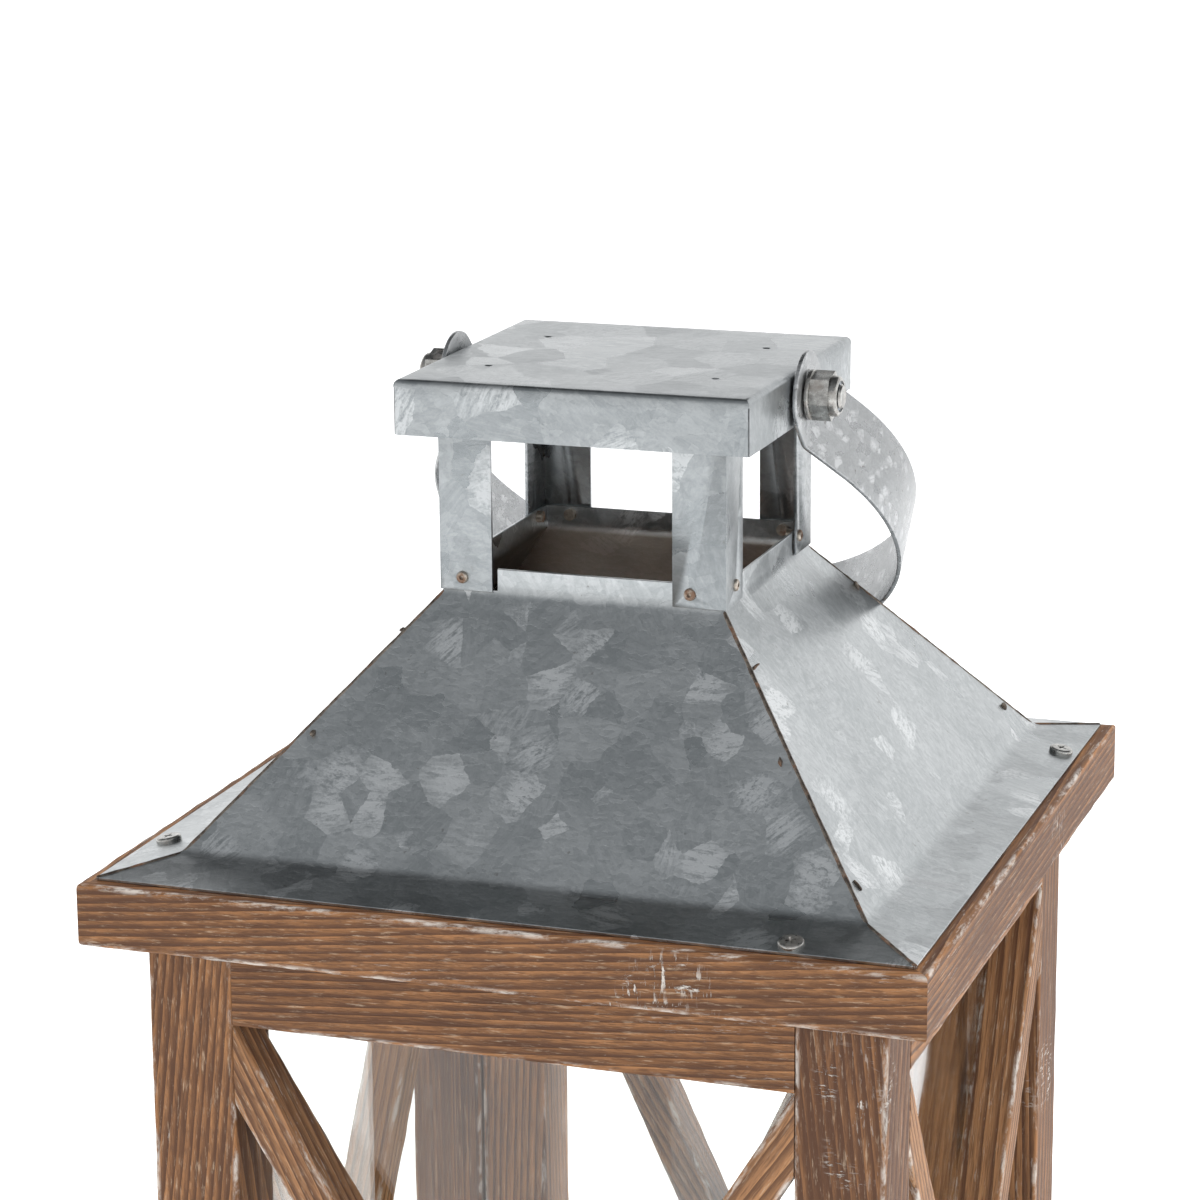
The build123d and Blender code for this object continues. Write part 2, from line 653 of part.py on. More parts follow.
def hinge_leaf(hand, low, label):
    """Hinge leaf; hand -1 is on the post with two knuckles, +1 on the door with one."""
    if hand < 0:
        knuckles = ((low, KNUCKLE), (low + HINGE_LONG - KNUCKLE, KNUCKLE))
    else:
        start = low + KNUCKLE + KNUCKLE_GAP
        knuckles = ((start, HINGE_LONG - 2 * (KNUCKLE + KNUCKLE_GAP)),)
    web = LEAF_EDGE - DOOR_GAP / 2
    plate_y = -PIN_STAND + HINGE_PLATE / 2
    bore = PIN_R if hand < 0 else PIN_R + HINGE_PLAY
    with BuildPart() as leaf:
        with BuildSketch(pin_plane(low)):
            with Locations((hand * (LEAF_EDGE + HINGE_REACH) / 2, plate_y)):
                Rectangle(HINGE_REACH - LEAF_EDGE, HINGE_PLATE)
        extrude(amount=HINGE_LONG)
        for start, long in knuckles:
            with BuildSketch(pin_plane(start)):
                Circle(KNUCKLE_R)
                with Locations((hand * (LEAF_EDGE - web / 2), plate_y)):
                    Rectangle(web, HINGE_PLATE)
            extrude(amount=long)
            with BuildSketch(pin_plane(start)):
                Circle(bore)
            extrude(amount=long, mode=Mode.SUBTRACT)
        hinge_screws(hand, Mode.SUBTRACT)
    save(leaf.part, label)


def hinge_pin(low, label):
    with BuildPart() as pin:
        with BuildSketch(pin_plane(low)):
            Circle(PIN_R)
        extrude(amount=HINGE_LONG)
    save(pin.part, label)


def hinge_screw_group(hand, label):
    with BuildPart() as screws:
        hinge_screws(hand, Mode.ADD)
    save(screws.part, label)


# ------------------------------------------------------------ the whole lantern
os.makedirs("parts", exist_ok=True)

base_board()
for corner_name in CORNERS:
    post(corner_name)
    cupola_post(corner_name)
for side_name in SIDES:
    roof_frame_board(side_name)
    roof_panel(side_name)
for side_name in FIXED_SIDES:
    rail(side_name, "top", OPEN_HIGH)
    rail(side_name, "bottom", BOARD)
    brace(side_name, BODY_IN, OPEN_LOW, OPEN_HIGH, 1, f"brace_{side_name}_a")
    brace(side_name, BODY_IN, OPEN_LOW, OPEN_HIGH, -1, f"brace_{side_name}_b")
    fixed_glass(side_name)
roof_screws()
rivets()
cap()
bail()
pivot_bolts()
pivot_washers()
lock_nuts()

door_stile("door_stile_hinge", -1)
door_stile("door_stile_free", 1)
door_rail("door_rail_top", DOOR_HIGH - RAIL)
door_rail("door_rail_bottom", DOOR_LOW)
brace("back", DOOR_OPEN_HALF, DOOR_LOW + RAIL, DOOR_HIGH - RAIL, 1, "door_brace_a")
brace("back", DOOR_OPEN_HALF, DOOR_LOW + RAIL, DOOR_HIGH - RAIL, -1, "door_brace_b")
door_glass()
door_knob()
knob_screw()
strike_plate()
magnet_catch()
catch_screw_pair()
for level, hinge_low in zip(("lower", "upper"), HINGE_HEIGHTS):
    hinge_leaf(-1, hinge_low, f"hinge_post_leaf_{level}")
    hinge_leaf(1, hinge_low, f"hinge_door_leaf_{level}")
    hinge_pin(hinge_low, f"hinge_pin_{level}")
hinge_screw_group(-1, "hinge_post_screws")
hinge_screw_group(1, "hinge_door_screws")
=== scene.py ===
"""Candle lantern: the finished pieces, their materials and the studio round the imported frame."""

import json
import logging
import math
from collections.abc import Callable, Iterable
from dataclasses import dataclass, field
from enum import Enum

import bpy
from mathutils import Matrix, Vector

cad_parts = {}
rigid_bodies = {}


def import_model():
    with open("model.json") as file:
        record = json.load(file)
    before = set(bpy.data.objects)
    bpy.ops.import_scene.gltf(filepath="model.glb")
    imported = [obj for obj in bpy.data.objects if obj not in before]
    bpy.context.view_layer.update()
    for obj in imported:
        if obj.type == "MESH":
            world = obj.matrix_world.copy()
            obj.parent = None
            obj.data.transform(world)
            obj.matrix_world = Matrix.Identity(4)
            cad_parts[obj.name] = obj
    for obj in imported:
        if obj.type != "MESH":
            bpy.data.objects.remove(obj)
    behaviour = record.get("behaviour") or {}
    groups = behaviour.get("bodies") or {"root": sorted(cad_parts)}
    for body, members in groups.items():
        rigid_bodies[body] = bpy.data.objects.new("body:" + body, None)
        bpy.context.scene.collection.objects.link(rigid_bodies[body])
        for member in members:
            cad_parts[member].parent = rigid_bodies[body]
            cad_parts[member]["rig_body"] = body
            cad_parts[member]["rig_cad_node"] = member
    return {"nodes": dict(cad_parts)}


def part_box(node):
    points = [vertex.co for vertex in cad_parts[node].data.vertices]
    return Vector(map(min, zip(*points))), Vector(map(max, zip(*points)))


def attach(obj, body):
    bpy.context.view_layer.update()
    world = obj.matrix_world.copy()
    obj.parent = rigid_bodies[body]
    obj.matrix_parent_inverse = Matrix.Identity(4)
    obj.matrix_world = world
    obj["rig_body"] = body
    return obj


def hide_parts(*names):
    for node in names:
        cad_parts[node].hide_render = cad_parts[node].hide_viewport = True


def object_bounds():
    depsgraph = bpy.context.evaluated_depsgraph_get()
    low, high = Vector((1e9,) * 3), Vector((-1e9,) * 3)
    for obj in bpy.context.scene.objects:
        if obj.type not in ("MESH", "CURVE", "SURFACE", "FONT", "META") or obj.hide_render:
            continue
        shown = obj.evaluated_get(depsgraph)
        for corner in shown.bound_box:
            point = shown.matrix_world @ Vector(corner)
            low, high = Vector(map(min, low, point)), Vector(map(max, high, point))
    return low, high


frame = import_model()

CAD_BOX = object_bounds()
LOG = logging.getLogger("lantern")
UP = Vector((0.0, 0.0, 1.0))
MM = 0.001
TOUCH = 0.01 * MM  # how near a point has to be to a plane to lie on it
MERGE_GAP = 0.0004 * MM
CAD_MERGE_GAP = 0.002 * MM
CUT_SNAP = 0.0001 * MM
CORNERS = ("front_left", "front_right", "back_left", "back_right")
LIMED_BROWN = (0.52, 0.40, 0.28, 1.0)
WHITEWASH = (0.66, 0.62, 0.57, 1.0)
STAIN = (0.09, 0.065, 0.045, 1.0)
RUST = (0.16, 0.07, 0.03, 1.0)
# Colour of the painted shade on sheet faces that point down.
UNDERSIDE_SHADE_COLOUR = (0.10, 0.075, 0.05, 1.0)
DUST = (0.75, 0.74, 0.7, 1.0)


class Side(Enum):
    """Sides of the lantern, by the turn about the vertical from the front."""

    FRONT = 0
    RIGHT = 90
    BACK = 180
    LEFT = 270

    @property
    def outward(self) -> Vector:
        """Unit vector out of this side."""
        turn = math.radians(self.value)
        return Vector((math.sin(turn), -math.cos(turn), 0.0))

    @property
    def along(self) -> Vector:
        """Unit vector along this side, left to right as seen from outside."""
        turn = math.radians(self.value)
        return Vector((math.cos(turn), math.sin(turn), 0.0))

    @property
    def word(self) -> str:
        """The side's name as the nodes spell it."""
        return self.name.lower()


class Body(Enum):
    """Rigid bodies of the frame."""

    LANTERN = "lantern"
    DOOR = "door"
    BAIL = "bail"


# ---------------------------------------------------------------- bench tools
class Bench:
    """Modelling moves that leave one piece selected and in object mode."""

    @staticmethod
    def take(piece: bpy.types.Object) -> None:
        """Select one piece and make it active."""
        bpy.ops.object.select_all(action="DESELECT")
        piece.select_set(True)
        bpy.context.view_layer.objects.active = piece

    @staticmethod
    def name(piece: bpy.types.Object, label: str) -> bpy.types.Object:
        """Name a piece and its mesh, and settle its place into the mesh.

        Args:
            piece: the object to name.
            label: the piece's name.

        Returns:
            The same object.
        """
        piece.name = label
        piece.data.name = label
        Bench.take(piece)
        bpy.ops.object.transform_apply(location=True, rotation=True, scale=True)
        return piece

    @staticmethod
    def block(label: str, low: Vector, high: Vector) -> bpy.types.Object:
        """Start a piece from a cube between two corners.

        Args:
            label: the piece's name.
            low: lowest corner.
            high: highest corner.

        Returns:
            The new object.
        """
        bpy.ops.object.select_all(action="DESELECT")
        bpy.ops.mesh.primitive_cube_add(size=1.0, location=(low + high) / 2)
        piece = bpy.context.object
        piece.scale = high - low
        return Bench.name(piece, label)

    @staticmethod
    def rod(label: str, start: Vector, end: Vector, radius: float, sides: int = 32) -> bpy.types.Object:
        """Start a piece from a cylinder between two points.

        Args:
            label: the piece's name.
            start: centre of the first end.
            end: centre of the far end.
            radius: the cylinder's radius.
            sides: number of flats round it.

        Returns:
            The new object.
        """
        bpy.ops.object.select_all(action="DESELECT")
        bpy.ops.mesh.primitive_cylinder_add(vertices=sides, radius=radius, depth=(end - start).length,
                                            location=(start + end) / 2)
        piece = bpy.context.object
        piece.rotation_mode = "QUATERNION"
        piece.rotation_quaternion = (end - start).to_track_quat("Z", "Y")
        return Bench.name(piece, label)

    @staticmethod
    def upright(label: str, foot: float, top: float, radius: float, sides: int) -> bpy.types.Object:
        """Start a piece from a cylinder on the vertical axis, between two heights."""
        return Bench.rod(label, UP * foot, UP * top, radius, sides)

    @staticmethod
    def aim(axis: Vector) -> Matrix:
        """Turn that brings the vertical axis onto another one."""
        return axis.to_track_quat("Z", "Y").to_matrix().to_4x4()

    @staticmethod
    def choose(piece: bpy.types.Object, kind: str) -> bpy.types.Mesh:
        """Take a piece up with nothing selected, and set what is selected by.

        Args:
            piece: the object to edit.
            kind: VERT, EDGE or FACE.

        Returns:
            The piece's mesh.
        """
        Bench.take(piece)
        modes = tuple(kind == each for each in ("VERT", "EDGE", "FACE"))
        bpy.context.tool_settings.mesh_select_mode = modes
        mesh = piece.data
        for group in (mesh.vertices, mesh.edges, mesh.polygons):
            group.foreach_set("select", [False] * len(group))
        return mesh

    @staticmethod
    def edit(piece: bpy.types.Object, kind: str, test: Callable[[Vector], bool] | None = None) -> None:
        """Enter edit mode with chosen vertices or faces selected.

        Args:
            piece: the object to edit.
            kind: VERT or FACE.
            test: says whether a vertex is chosen, from its place, or a face, from its middle; all
                are chosen without it.
        """
        mesh = Bench.choose(piece, kind)
        if kind == "VERT":
            for vertex in mesh.vertices:
                vertex.select = test is None or test(vertex.co)
        else:
            for face in mesh.polygons:
                face.select = test is None or test(face.center)
        bpy.ops.object.mode_set(mode="EDIT")

    @staticmethod
    def done() -> None:
        """Leave edit mode."""
        bpy.ops.object.mode_set(mode="OBJECT")

    @staticmethod
    def pick_edges(piece: bpy.types.Object, test: Callable[[Vector, Vector], bool]) -> None:
        """Enter edit mode with the edges selected whose two ends pass a test."""
        mesh = Bench.choose(piece, "EDGE")
        points = [v.co.copy() for v in mesh.vertices]
        for edge in mesh.edges:
            first, second = edge.vertices
            edge.select = test(points[first], points[second])
        bpy.ops.object.mode_set(mode="EDIT")

    @staticmethod
    def round_off(piece: bpy.types.Object, test: Callable[[Vector, Vector], bool], width: float,
                  steps: int, profile: float = 0.5) -> None:
        """Bevel some of a piece's edges.

        Args:
            piece: the object to bevel.
            test: says whether an edge is bevelled, from its two ends.
            width: the bevel's width.
            steps: number of flats across it.
            profile: how full the bevel is, from 0 to 1.
        """
        Bench.pick_edges(piece, test)
        bpy.ops.mesh.bevel(offset=width, segments=steps, affect="EDGES", profile=profile)
        Bench.done()

    @staticmethod
    def narrow(piece: bpy.types.Object, kind: str, test: Callable[[Vector], bool], share: float,
               level: float) -> None:
        """Scale some vertices or faces towards the vertical axis.

        Args:
            piece: the object to edit.
            kind: VERT or FACE.
            test: says what is scaled, as in edit.
            share: the scale.
            level: height of the point scaled about.
        """
        Bench.edit(piece, kind, test)
        bpy.ops.transform.resize(value=(share, share, 1), center_override=(0, 0, level))
        Bench.done()

    @staticmethod
    def divide(piece: bpy.types.Object, test: Callable[[Vector, Vector], bool], cuts: int) -> None:
        """Subdivide the edges whose two ends pass a test."""
        Bench.pick_edges(piece, test)
        bpy.ops.mesh.subdivide(number_cuts=cuts)
        Bench.done()

    @staticmethod
    def slice(piece: bpy.types.Object, point: Vector, normal: Vector, drop: bool = False) -> None:
        """Cut a piece by a plane.

        Args:
            piece: the object to cut.
            point: a point on the plane.
            normal: the plane's normal.
            drop: whether the part on the normal's side is taken away and the cut closed.
        """
        Bench.edit(piece, "FACE")
        bpy.ops.mesh.bisect(plane_co=point, plane_no=normal, use_fill=drop, clear_outer=drop,
                            threshold=CUT_SNAP)
        Bench.done()

    @staticmethod
    def fit(piece: bpy.types.Object, kind: str, **settings: object) -> None:
        """Add one modifier with its settings and apply it."""
        Bench.take(piece)
        modifier = piece.modifiers.new(kind.lower(), kind)
        for key, value in settings.items():
            setattr(modifier, key, value)
        bpy.ops.object.modifier_apply(modifier=modifier.name)

    @staticmethod
    def cut(piece: bpy.types.Object, cutters: Iterable[bpy.types.Object],
            how: str = "DIFFERENCE") -> None:
        """Apply boolean cutters to a piece and throw the cutters away."""
        for cutter in cutters:
            Bench.fit(piece, "BOOLEAN", operation=how, object=cutter, solver="MANIFOLD")
            bpy.data.objects.remove(cutter)

    @staticmethod
    def join(label: str, pieces: list[bpy.types.Object]) -> bpy.types.Object:
        """Join pieces into one named object."""
        bpy.ops.object.select_all(action="DESELECT")
        for piece in pieces:
            piece.select_set(True)
        bpy.context.view_layer.objects.active = pieces[0]
        if len(pieces) > 1:
            bpy.ops.object.join()
        return Bench.name(pieces[0], label)

    @staticmethod
    def twin(piece: bpy.types.Object, placing: Matrix) -> bpy.types.Object:
        """Copy a piece with its own mesh and put the copy somewhere else."""
        copy = piece.copy()
        copy.data = piece.data.copy()
        bpy.context.scene.collection.objects.link(copy)
        copy.data.transform(placing)
        return copy

    @staticmethod
    def smooth(piece: bpy.types.Object, degrees: float = 30.0) -> None:
        """Shade smooth across edges flatter than an angle."""
        Bench.take(piece)
        bpy.ops.object.shade_smooth_by_angle(angle=math.radians(degrees))

    @staticmethod
    def tidy(piece: bpy.types.Object) -> None:
        """Merge doubles and turn every face outwards."""
        Bench.edit(piece, "VERT")
        bpy.ops.mesh.remove_doubles(threshold=MERGE_GAP)
        bpy.ops.mesh.normals_make_consistent(inside=False)
        Bench.done()


def clouds(label: str, grain: float) -> bpy.types.Texture:
    """Soft procedural noise for displacing metal and wood."""
    texture = bpy.data.textures.new(label, "CLOUDS")
    texture.noise_scale = grain
    texture.noise_depth = 2
    return texture


# ---------------------------------------------------------------- shader building
Feed = object  # what an input takes: a socket to link from, or a plain value


@dataclass
class Web:
    """Adds and links nodes in one shader tree."""

    tree: bpy.types.NodeTree

    def feed(self, socket: bpy.types.NodeSocket, value: Feed) -> None:
        """Link a socket, or set its plain value."""
        if isinstance(value, bpy.types.NodeSocket):
            self.tree.links.new(value, socket)
        else:
            socket.default_value = value

    def add(self, kind: str, settings: dict[str, object] | None = None,
            **sockets: Feed) -> bpy.types.Node:
        """Add a node.

        Args:
            kind: the node's type, without its ShaderNode prefix.
            settings: properties of the node.
            **sockets: inputs by name, with underscores for spaces.

        Returns:
            The new node.
        """
        node = self.tree.nodes.new("ShaderNode" + kind)
        for key, value in (settings or {}).items():
            setattr(node, key, value)
        for key, value in sockets.items():
            self.feed(node.inputs[key.replace("_", " ")], value)
        return node

    def sum(self, operation: str, first: Feed, second: Feed = 0.0,
            clamp: bool = False) -> bpy.types.NodeSocket:
        """One step of arithmetic."""
        node = self.add("Math", {"operation": operation, "use_clamp": clamp})
        self.feed(node.inputs[0], first)
        self.feed(node.inputs[1], second)
        return node.outputs[0]

    def mix(self, share: Feed, first: Feed, second: Feed) -> bpy.types.NodeSocket:
        """Blend two colours; share is how much of the second."""
        node = self.add("Mix", {"data_type": "RGBA"})
        self.feed(node.inputs[0], share)
        self.feed(node.inputs[6], first)
        self.feed(node.inputs[7], second)
        return node.outputs[2]

    def stretch(self, vector: Feed, scale: tuple[float, float, float]) -> bpy.types.NodeSocket:
        """Scale coordinates along each axis."""
        node = self.add("VectorMath", {"operation": "MULTIPLY"})
        self.feed(node.inputs[0], vector)
        self.feed(node.inputs[1], scale)
        return node.outputs[0]

    def noise(self, vector: Feed, scale: Feed, detail: float = 4.0, rough: float = 0.55,
              warp: float = 0.0) -> bpy.types.NodeSocket:
        """Fractal noise from 0 to 1."""
        node = self.add("TexNoise", Vector=vector, Scale=scale, Detail=detail, Roughness=rough,
                        Distortion=warp)
        return node.outputs["Fac"]

    def band(self, value: Feed, low: Feed, high: Feed, start: Feed = 0.0,
             end: Feed = 1.0) -> bpy.types.NodeSocket:
        """Map a range smoothly onto another, held at its ends."""
        node = self.add("MapRange", {"interpolation_type": "SMOOTHSTEP"}, From_Min=low, From_Max=high,
                        To_Min=start, To_Max=end)
        self.feed(node.inputs["Value"], value)
        return node.outputs["Result"]


class Rig:
    """Shared node groups, each built once."""

    made: dict[str, bpy.types.NodeTree] = {}

    @classmethod
    def group(cls, label: str, inputs: list[tuple[str, str, Feed]], outputs: list[tuple[str, str]],
              fill: Callable[[Web, dict[str, bpy.types.NodeSocket]], dict[str, Feed]]) -> bpy.types.NodeTree:
        """Build a node group, or return it if it is there.

        Args:
            label: the group's name.
            inputs: name, kind (Float, Color or Vector) and default of each input.
            outputs: name and kind of each output.
            fill: makes the nodes and returns what feeds each output.

        Returns:
            The node group.
        """
        if label in cls.made:
            return cls.made[label]
        tree = bpy.data.node_groups.new(label, "ShaderNodeTree")
        for name, kind, default in inputs:
            socket = tree.interface.new_socket(name=name, in_out="INPUT", socket_type="NodeSocket" + kind)
            if default is not None:
                socket.default_value = default
        for name, kind in outputs:
            tree.interface.new_socket(name=name, in_out="OUTPUT", socket_type="NodeSocket" + kind)
        entry = tree.nodes.new("NodeGroupInput")
        leave = tree.nodes.new("NodeGroupOutput")
        web = Web(tree)
        made = fill(web, {name: entry.outputs[name] for name, _, _ in inputs})
        for name, value in made.items():
            web.feed(leave.inputs[name], value)
        cls.made[label] = tree
        return tree

    @classmethod
    def wood(cls) -> bpy.types.NodeTree:
        """Stained softwood: growth bands, fibres, blotches, whitewash left on the arrises and a painted
        highlight along them.
        """

        def fill(web: Web, given: dict[str, bpy.types.NodeSocket]) -> dict[str, Feed]:
            """Nodes of the wood group."""
            grain = given["Grain"]
            drift = web.noise(web.stretch(grain, (9, 45, 45)), 1.0, 2.0)
            length = web.add("SeparateXYZ", Vector=grain)
            pith = web.add("VectorMath", {"operation": "LENGTH"})
            web.feed(pith.inputs[0], web.stretch(grain, (0, 1, 1)))
            rings = web.add("CombineXYZ", X=web.sum("MULTIPLY", length.outputs["X"], 9.0),
                            Y=web.sum("MULTIPLY", pith.outputs["Value"], 175.0),
                            Z=web.sum("MULTIPLY", length.outputs["Z"], 22.0)).outputs[0]
            saw = {"wave_type": "BANDS", "bands_direction": "Y", "wave_profile": "SAW"}
            bands = web.add("TexWave", saw, Vector=rings, Scale=1.0, Distortion=3.2, Detail=4.0,
                            Detail_Scale=1.0, Detail_Roughness=0.62).outputs["Fac"]
            streaks = web.noise(web.stretch(grain, (22, 560, 560)), 1.0, 5.0, 0.62)
            fibres = web.noise(web.stretch(grain, (110, 2600, 2600)), 1.0, 3.0, 0.6)
            tone = web.sum("ADD", web.sum("MULTIPLY", bands, -0.3), web.sum("MULTIPLY", streaks, 0.62))
            tone = web.sum("ADD", tone, 0.25)
            tone = web.sum("ADD", tone, web.sum("MULTIPLY", drift, 0.32))
            tone = web.sum("ADD", tone, given["Tone"])
            late = web.band(bands, 0.55, 0.95)
            body = web.mix(web.band(tone, 0.36, 0.86), given["Dark"], given["Light"])
            body = web.mix(web.sum("MULTIPLY", late, 0.46), body, given["Dark"])
            pores = web.band(fibres, 0.36, 0.52, 1.0, 0.0)
            body = web.mix(web.sum("MULTIPLY", pores, 0.6), body, given["Dark"])
            limed = web.noise(web.stretch(grain, (95, 1500, 1500)), 1.0, 4.0, 0.7)
            limed = web.sum("MULTIPLY", web.band(limed, 0.55, 0.68),
                            web.band(fibres, 0.4, 0.62, 0.15, 0.6))
            body = web.mix(web.sum("MULTIPLY", limed, given["Whitewash"]), body, LIMED_BROWN)
            blotch = web.noise(web.stretch(grain, (26, 60, 60)), 1.0, 3.0, 0.6)
            body = web.mix(web.band(blotch, 0.5, 0.8, 0.0, 0.3), body, given["Dark"])
            patchy = web.noise(web.stretch(grain, (105, 330, 330)), 1.0, 6.0, 0.72)
            flecks = web.noise(web.stretch(grain, (160, 1100, 1100)), 1.0, 4.0, 0.65)
            edge_wash = web.sum("MULTIPLY", given["Arris"], web.band(patchy, 0.46, 0.64, 0.0, 0.85))
            face_wash = web.sum("MULTIPLY", web.band(patchy, 0.66, 0.74),
                                web.band(flecks, 0.5, 0.6, 0.0, 0.8))
            thin = web.sum("MULTIPLY", web.band(flecks, 0.60, 0.68),
                           web.band(drift, 0.5, 0.66, 0.0, 0.35))
            across = web.noise(web.stretch(grain, (900, 210, 210)), 1.0, 5.0, 0.7)
            crossing = web.sum("MULTIPLY", web.band(across, 0.55, 0.6), web.band(blotch, 0.4, 0.5))
            chipped = web.sum("MAXIMUM", crossing, web.band(patchy, 0.62, 0.68))
            chipped = web.sum("MULTIPLY", web.sum("MULTIPLY", chipped, given["Chips"]), 0.85)
            wash = web.sum("MAXIMUM", web.sum("MAXIMUM", edge_wash, face_wash), thin)
            wash = web.sum("MAXIMUM", web.sum("MULTIPLY", wash, given["Whitewash"]), chipped, clamp=True)
            # Painted highlight: the wood is lightened towards its light colour along the arrises.
            arris_highlight = web.sum("MULTIPLY", given["Arris"], web.band(streaks, 0.4, 0.6, 0.0, 0.35))
            highlit_body = web.mix(arris_highlight, body, given["Light"])
            colour = web.mix(wash, highlit_body, WHITEWASH)
            rough = web.sum("ADD", web.sum("MULTIPLY", fibres, 0.22), 0.5)
            height = web.sum("ADD", web.sum("MULTIPLY", streaks, 0.6), web.sum("MULTIPLY", fibres, 0.35))
            height = web.sum("SUBTRACT", height, web.sum("MULTIPLY", late, 0.12))
            height = web.sum("ADD", height, web.sum("MULTIPLY", wash, 0.3))
            return {"Color": colour, "Roughness": rough, "Height": height}

        return cls.group(
            "stained wood",
            [("Grain", "Vector", None), ("Arris", "Float", 0.0), ("Tone", "Float", 0.0),
             ("Whitewash", "Float", 1.0), ("Chips", "Float", 0.0), ("Dark", "Color", None),
             ("Light", "Color", None)],
            [("Color", "Color"), ("Roughness", "Float"), ("Height", "Float")], fill)

    @classmethod
    def spangle(cls) -> bpy.types.NodeTree:
        """Zinc crystals: patches with feathered edges, each a little lighter, darker or duller."""

        def fill(web: Web, given: dict[str, bpy.types.NodeSocket]) -> dict[str, Feed]:
            """Nodes of the spangle group."""
            place = given["Vector"]
            wobble = web.add("TexNoise", Vector=place, Scale=130.0, Detail=4.0, Roughness=0.65)
            bent = web.add("VectorMath", {"operation": "MULTIPLY_ADD"})
            web.feed(bent.inputs[0], wobble.outputs["Color"])
            web.feed(bent.inputs[1], (0.0035, 0.0035, 0.0035))
            web.feed(bent.inputs[2], place)
            crystal = web.add("TexVoronoi", {"feature": "F1"}, Vector=bent.outputs[0],
                              Scale=given["Crystals"])
            parts = web.add("SeparateColor", Color=crystal.outputs["Color"])
            chance, turn = parts.outputs[0], parts.outputs[1]
            needle = web.add("TexVoronoi", {"feature": "F1"},
                             Vector=web.stretch(bent.outputs[0], (1, 2.4, 1.6)),
                             Scale=web.sum("MULTIPLY", given["Crystals"], 4.2))
            small = web.add("SeparateColor", Color=needle.outputs["Color"]).outputs[2]
            turned = web.add("VectorRotate", {"rotation_type": "AXIS_ANGLE"}, Vector=place,
                             Axis=crystal.outputs["Color"],
                             Angle=web.sum("MULTIPLY", turn, 6.28)).outputs[0]
            fern = web.noise(web.stretch(turned, (110, 900, 420)), 1.0, 5.0, 0.7, 0.6)
            feather = web.sum("ADD", web.sum("MULTIPLY", fern, 0.72),
                              web.sum("MULTIPLY", web.noise(place, 1400.0, 3.0, 0.7), 0.28))
            fade = web.band(crystal.outputs["Distance"], 0.15, 0.75, 1.0, 0.25)
            bright = web.sum("MULTIPLY", web.band(chance, 0.74, 0.8), fade)
            pale = web.sum("MULTIPLY", bright, web.band(feather, 0.36, 0.6))
            cloud = web.noise(place, 24.0, 3.0, 0.6)
            shade = web.sum("ADD", web.sum("MULTIPLY", turn, 0.14), web.sum("MULTIPLY", small, 0.1))
            shade = web.sum("ADD", shade, web.sum("MULTIPLY", feather, 0.55))
            shade = web.sum("ADD", shade, web.sum("MULTIPLY", cloud, 0.3))
            shade = web.band(shade, 0.32, 0.86)
            shade = web.sum("MULTIPLY", web.sum("SUBTRACT", shade, 0.5), given["Contrast"])
            shade = web.sum("ADD", shade, 0.42)
            lifted = web.sum("MULTIPLY", pale, web.sum("MULTIPLY", given["Contrast"], 1.5))
            shade = web.sum("ADD", shade, lifted, clamp=True)
            colour = web.mix(shade, given["Dull"], given["Bright"])
            speck = web.band(web.noise(place, 420.0, 3.0, 0.6), 0.69, 0.74)
            colour = web.mix(web.sum("MULTIPLY", speck, given["Stain"]), colour, STAIN)
            rough = web.sum("MULTIPLY", web.sum("SUBTRACT", turn, 0.5), 0.14)
            rough = web.sum("ADD", given["Gloss"], rough)
            rough = web.sum("ADD", rough, web.sum("MULTIPLY", pale, 0.12))
            height = web.sum("ADD", web.sum("MULTIPLY", feather, 0.35), web.sum("MULTIPLY", small, 0.35))
            height = web.sum("ADD", height, web.sum("MULTIPLY", web.noise(place, 60.0, 2.0), 2.0))
            return {"Color": colour, "Roughness": rough, "Height": height}

        return cls.group(
            "zinc spangle",
            [("Vector", "Vector", None), ("Crystals", "Float", 85.0), ("Contrast", "Float", 0.6),
             ("Gloss", "Float", 0.38), ("Stain", "Float", 0.5), ("Dull", "Color", None),
             ("Bright", "Color", None)],
            [("Color", "Color"), ("Roughness", "Float"), ("Height", "Float")], fill)

    @classmethod
    def tarnish(cls) -> bpy.types.NodeTree:
        """Handled metal: scratches, stains and rust that collects in patches."""

        def fill(web: Web, given: dict[str, bpy.types.NodeSocket]) -> dict[str, Feed]:
            """Nodes of the tarnish group."""
            place = given["Vector"]
            mottle = web.noise(place, 500.0, 5.0, 0.65)
            blot = web.noise(place, 210.0, 4.0, 0.6)
            scratch = web.noise(web.stretch(place, (300, 3000, 900)), 1.0, 2.0)
            metal = web.mix(web.band(mottle, 0.3, 0.7), given["Dull"], given["Bright"])
            rusted = web.sum("MULTIPLY", web.band(blot, 0.5, 0.66), given["Rust"], clamp=True)
            colour = web.mix(rusted, metal, RUST)
            rough = web.sum("ADD", given["Gloss"], web.sum("MULTIPLY", mottle, 0.16))
            rough = web.sum("ADD", rough, web.sum("MULTIPLY", rusted, 0.35))
            shine = web.sum("SUBTRACT", 1.0, web.sum("MULTIPLY", rusted, 0.8), clamp=True)
            height = web.sum("ADD", web.sum("MULTIPLY", mottle, 0.5), web.sum("MULTIPLY", scratch, 0.2))
            return {"Color": colour, "Roughness": rough, "Metallic": shine, "Height": height}

        return cls.group(
            "tarnish",
            [("Vector", "Vector", None), ("Rust", "Float", 0.3), ("Gloss", "Float", 0.3),
             ("Dull", "Color", None), ("Bright", "Color", None)],
            [("Color", "Color"), ("Roughness", "Float"), ("Metallic", "Float"), ("Height", "Float")], fill)


Shade = tuple[float, float, float, float]


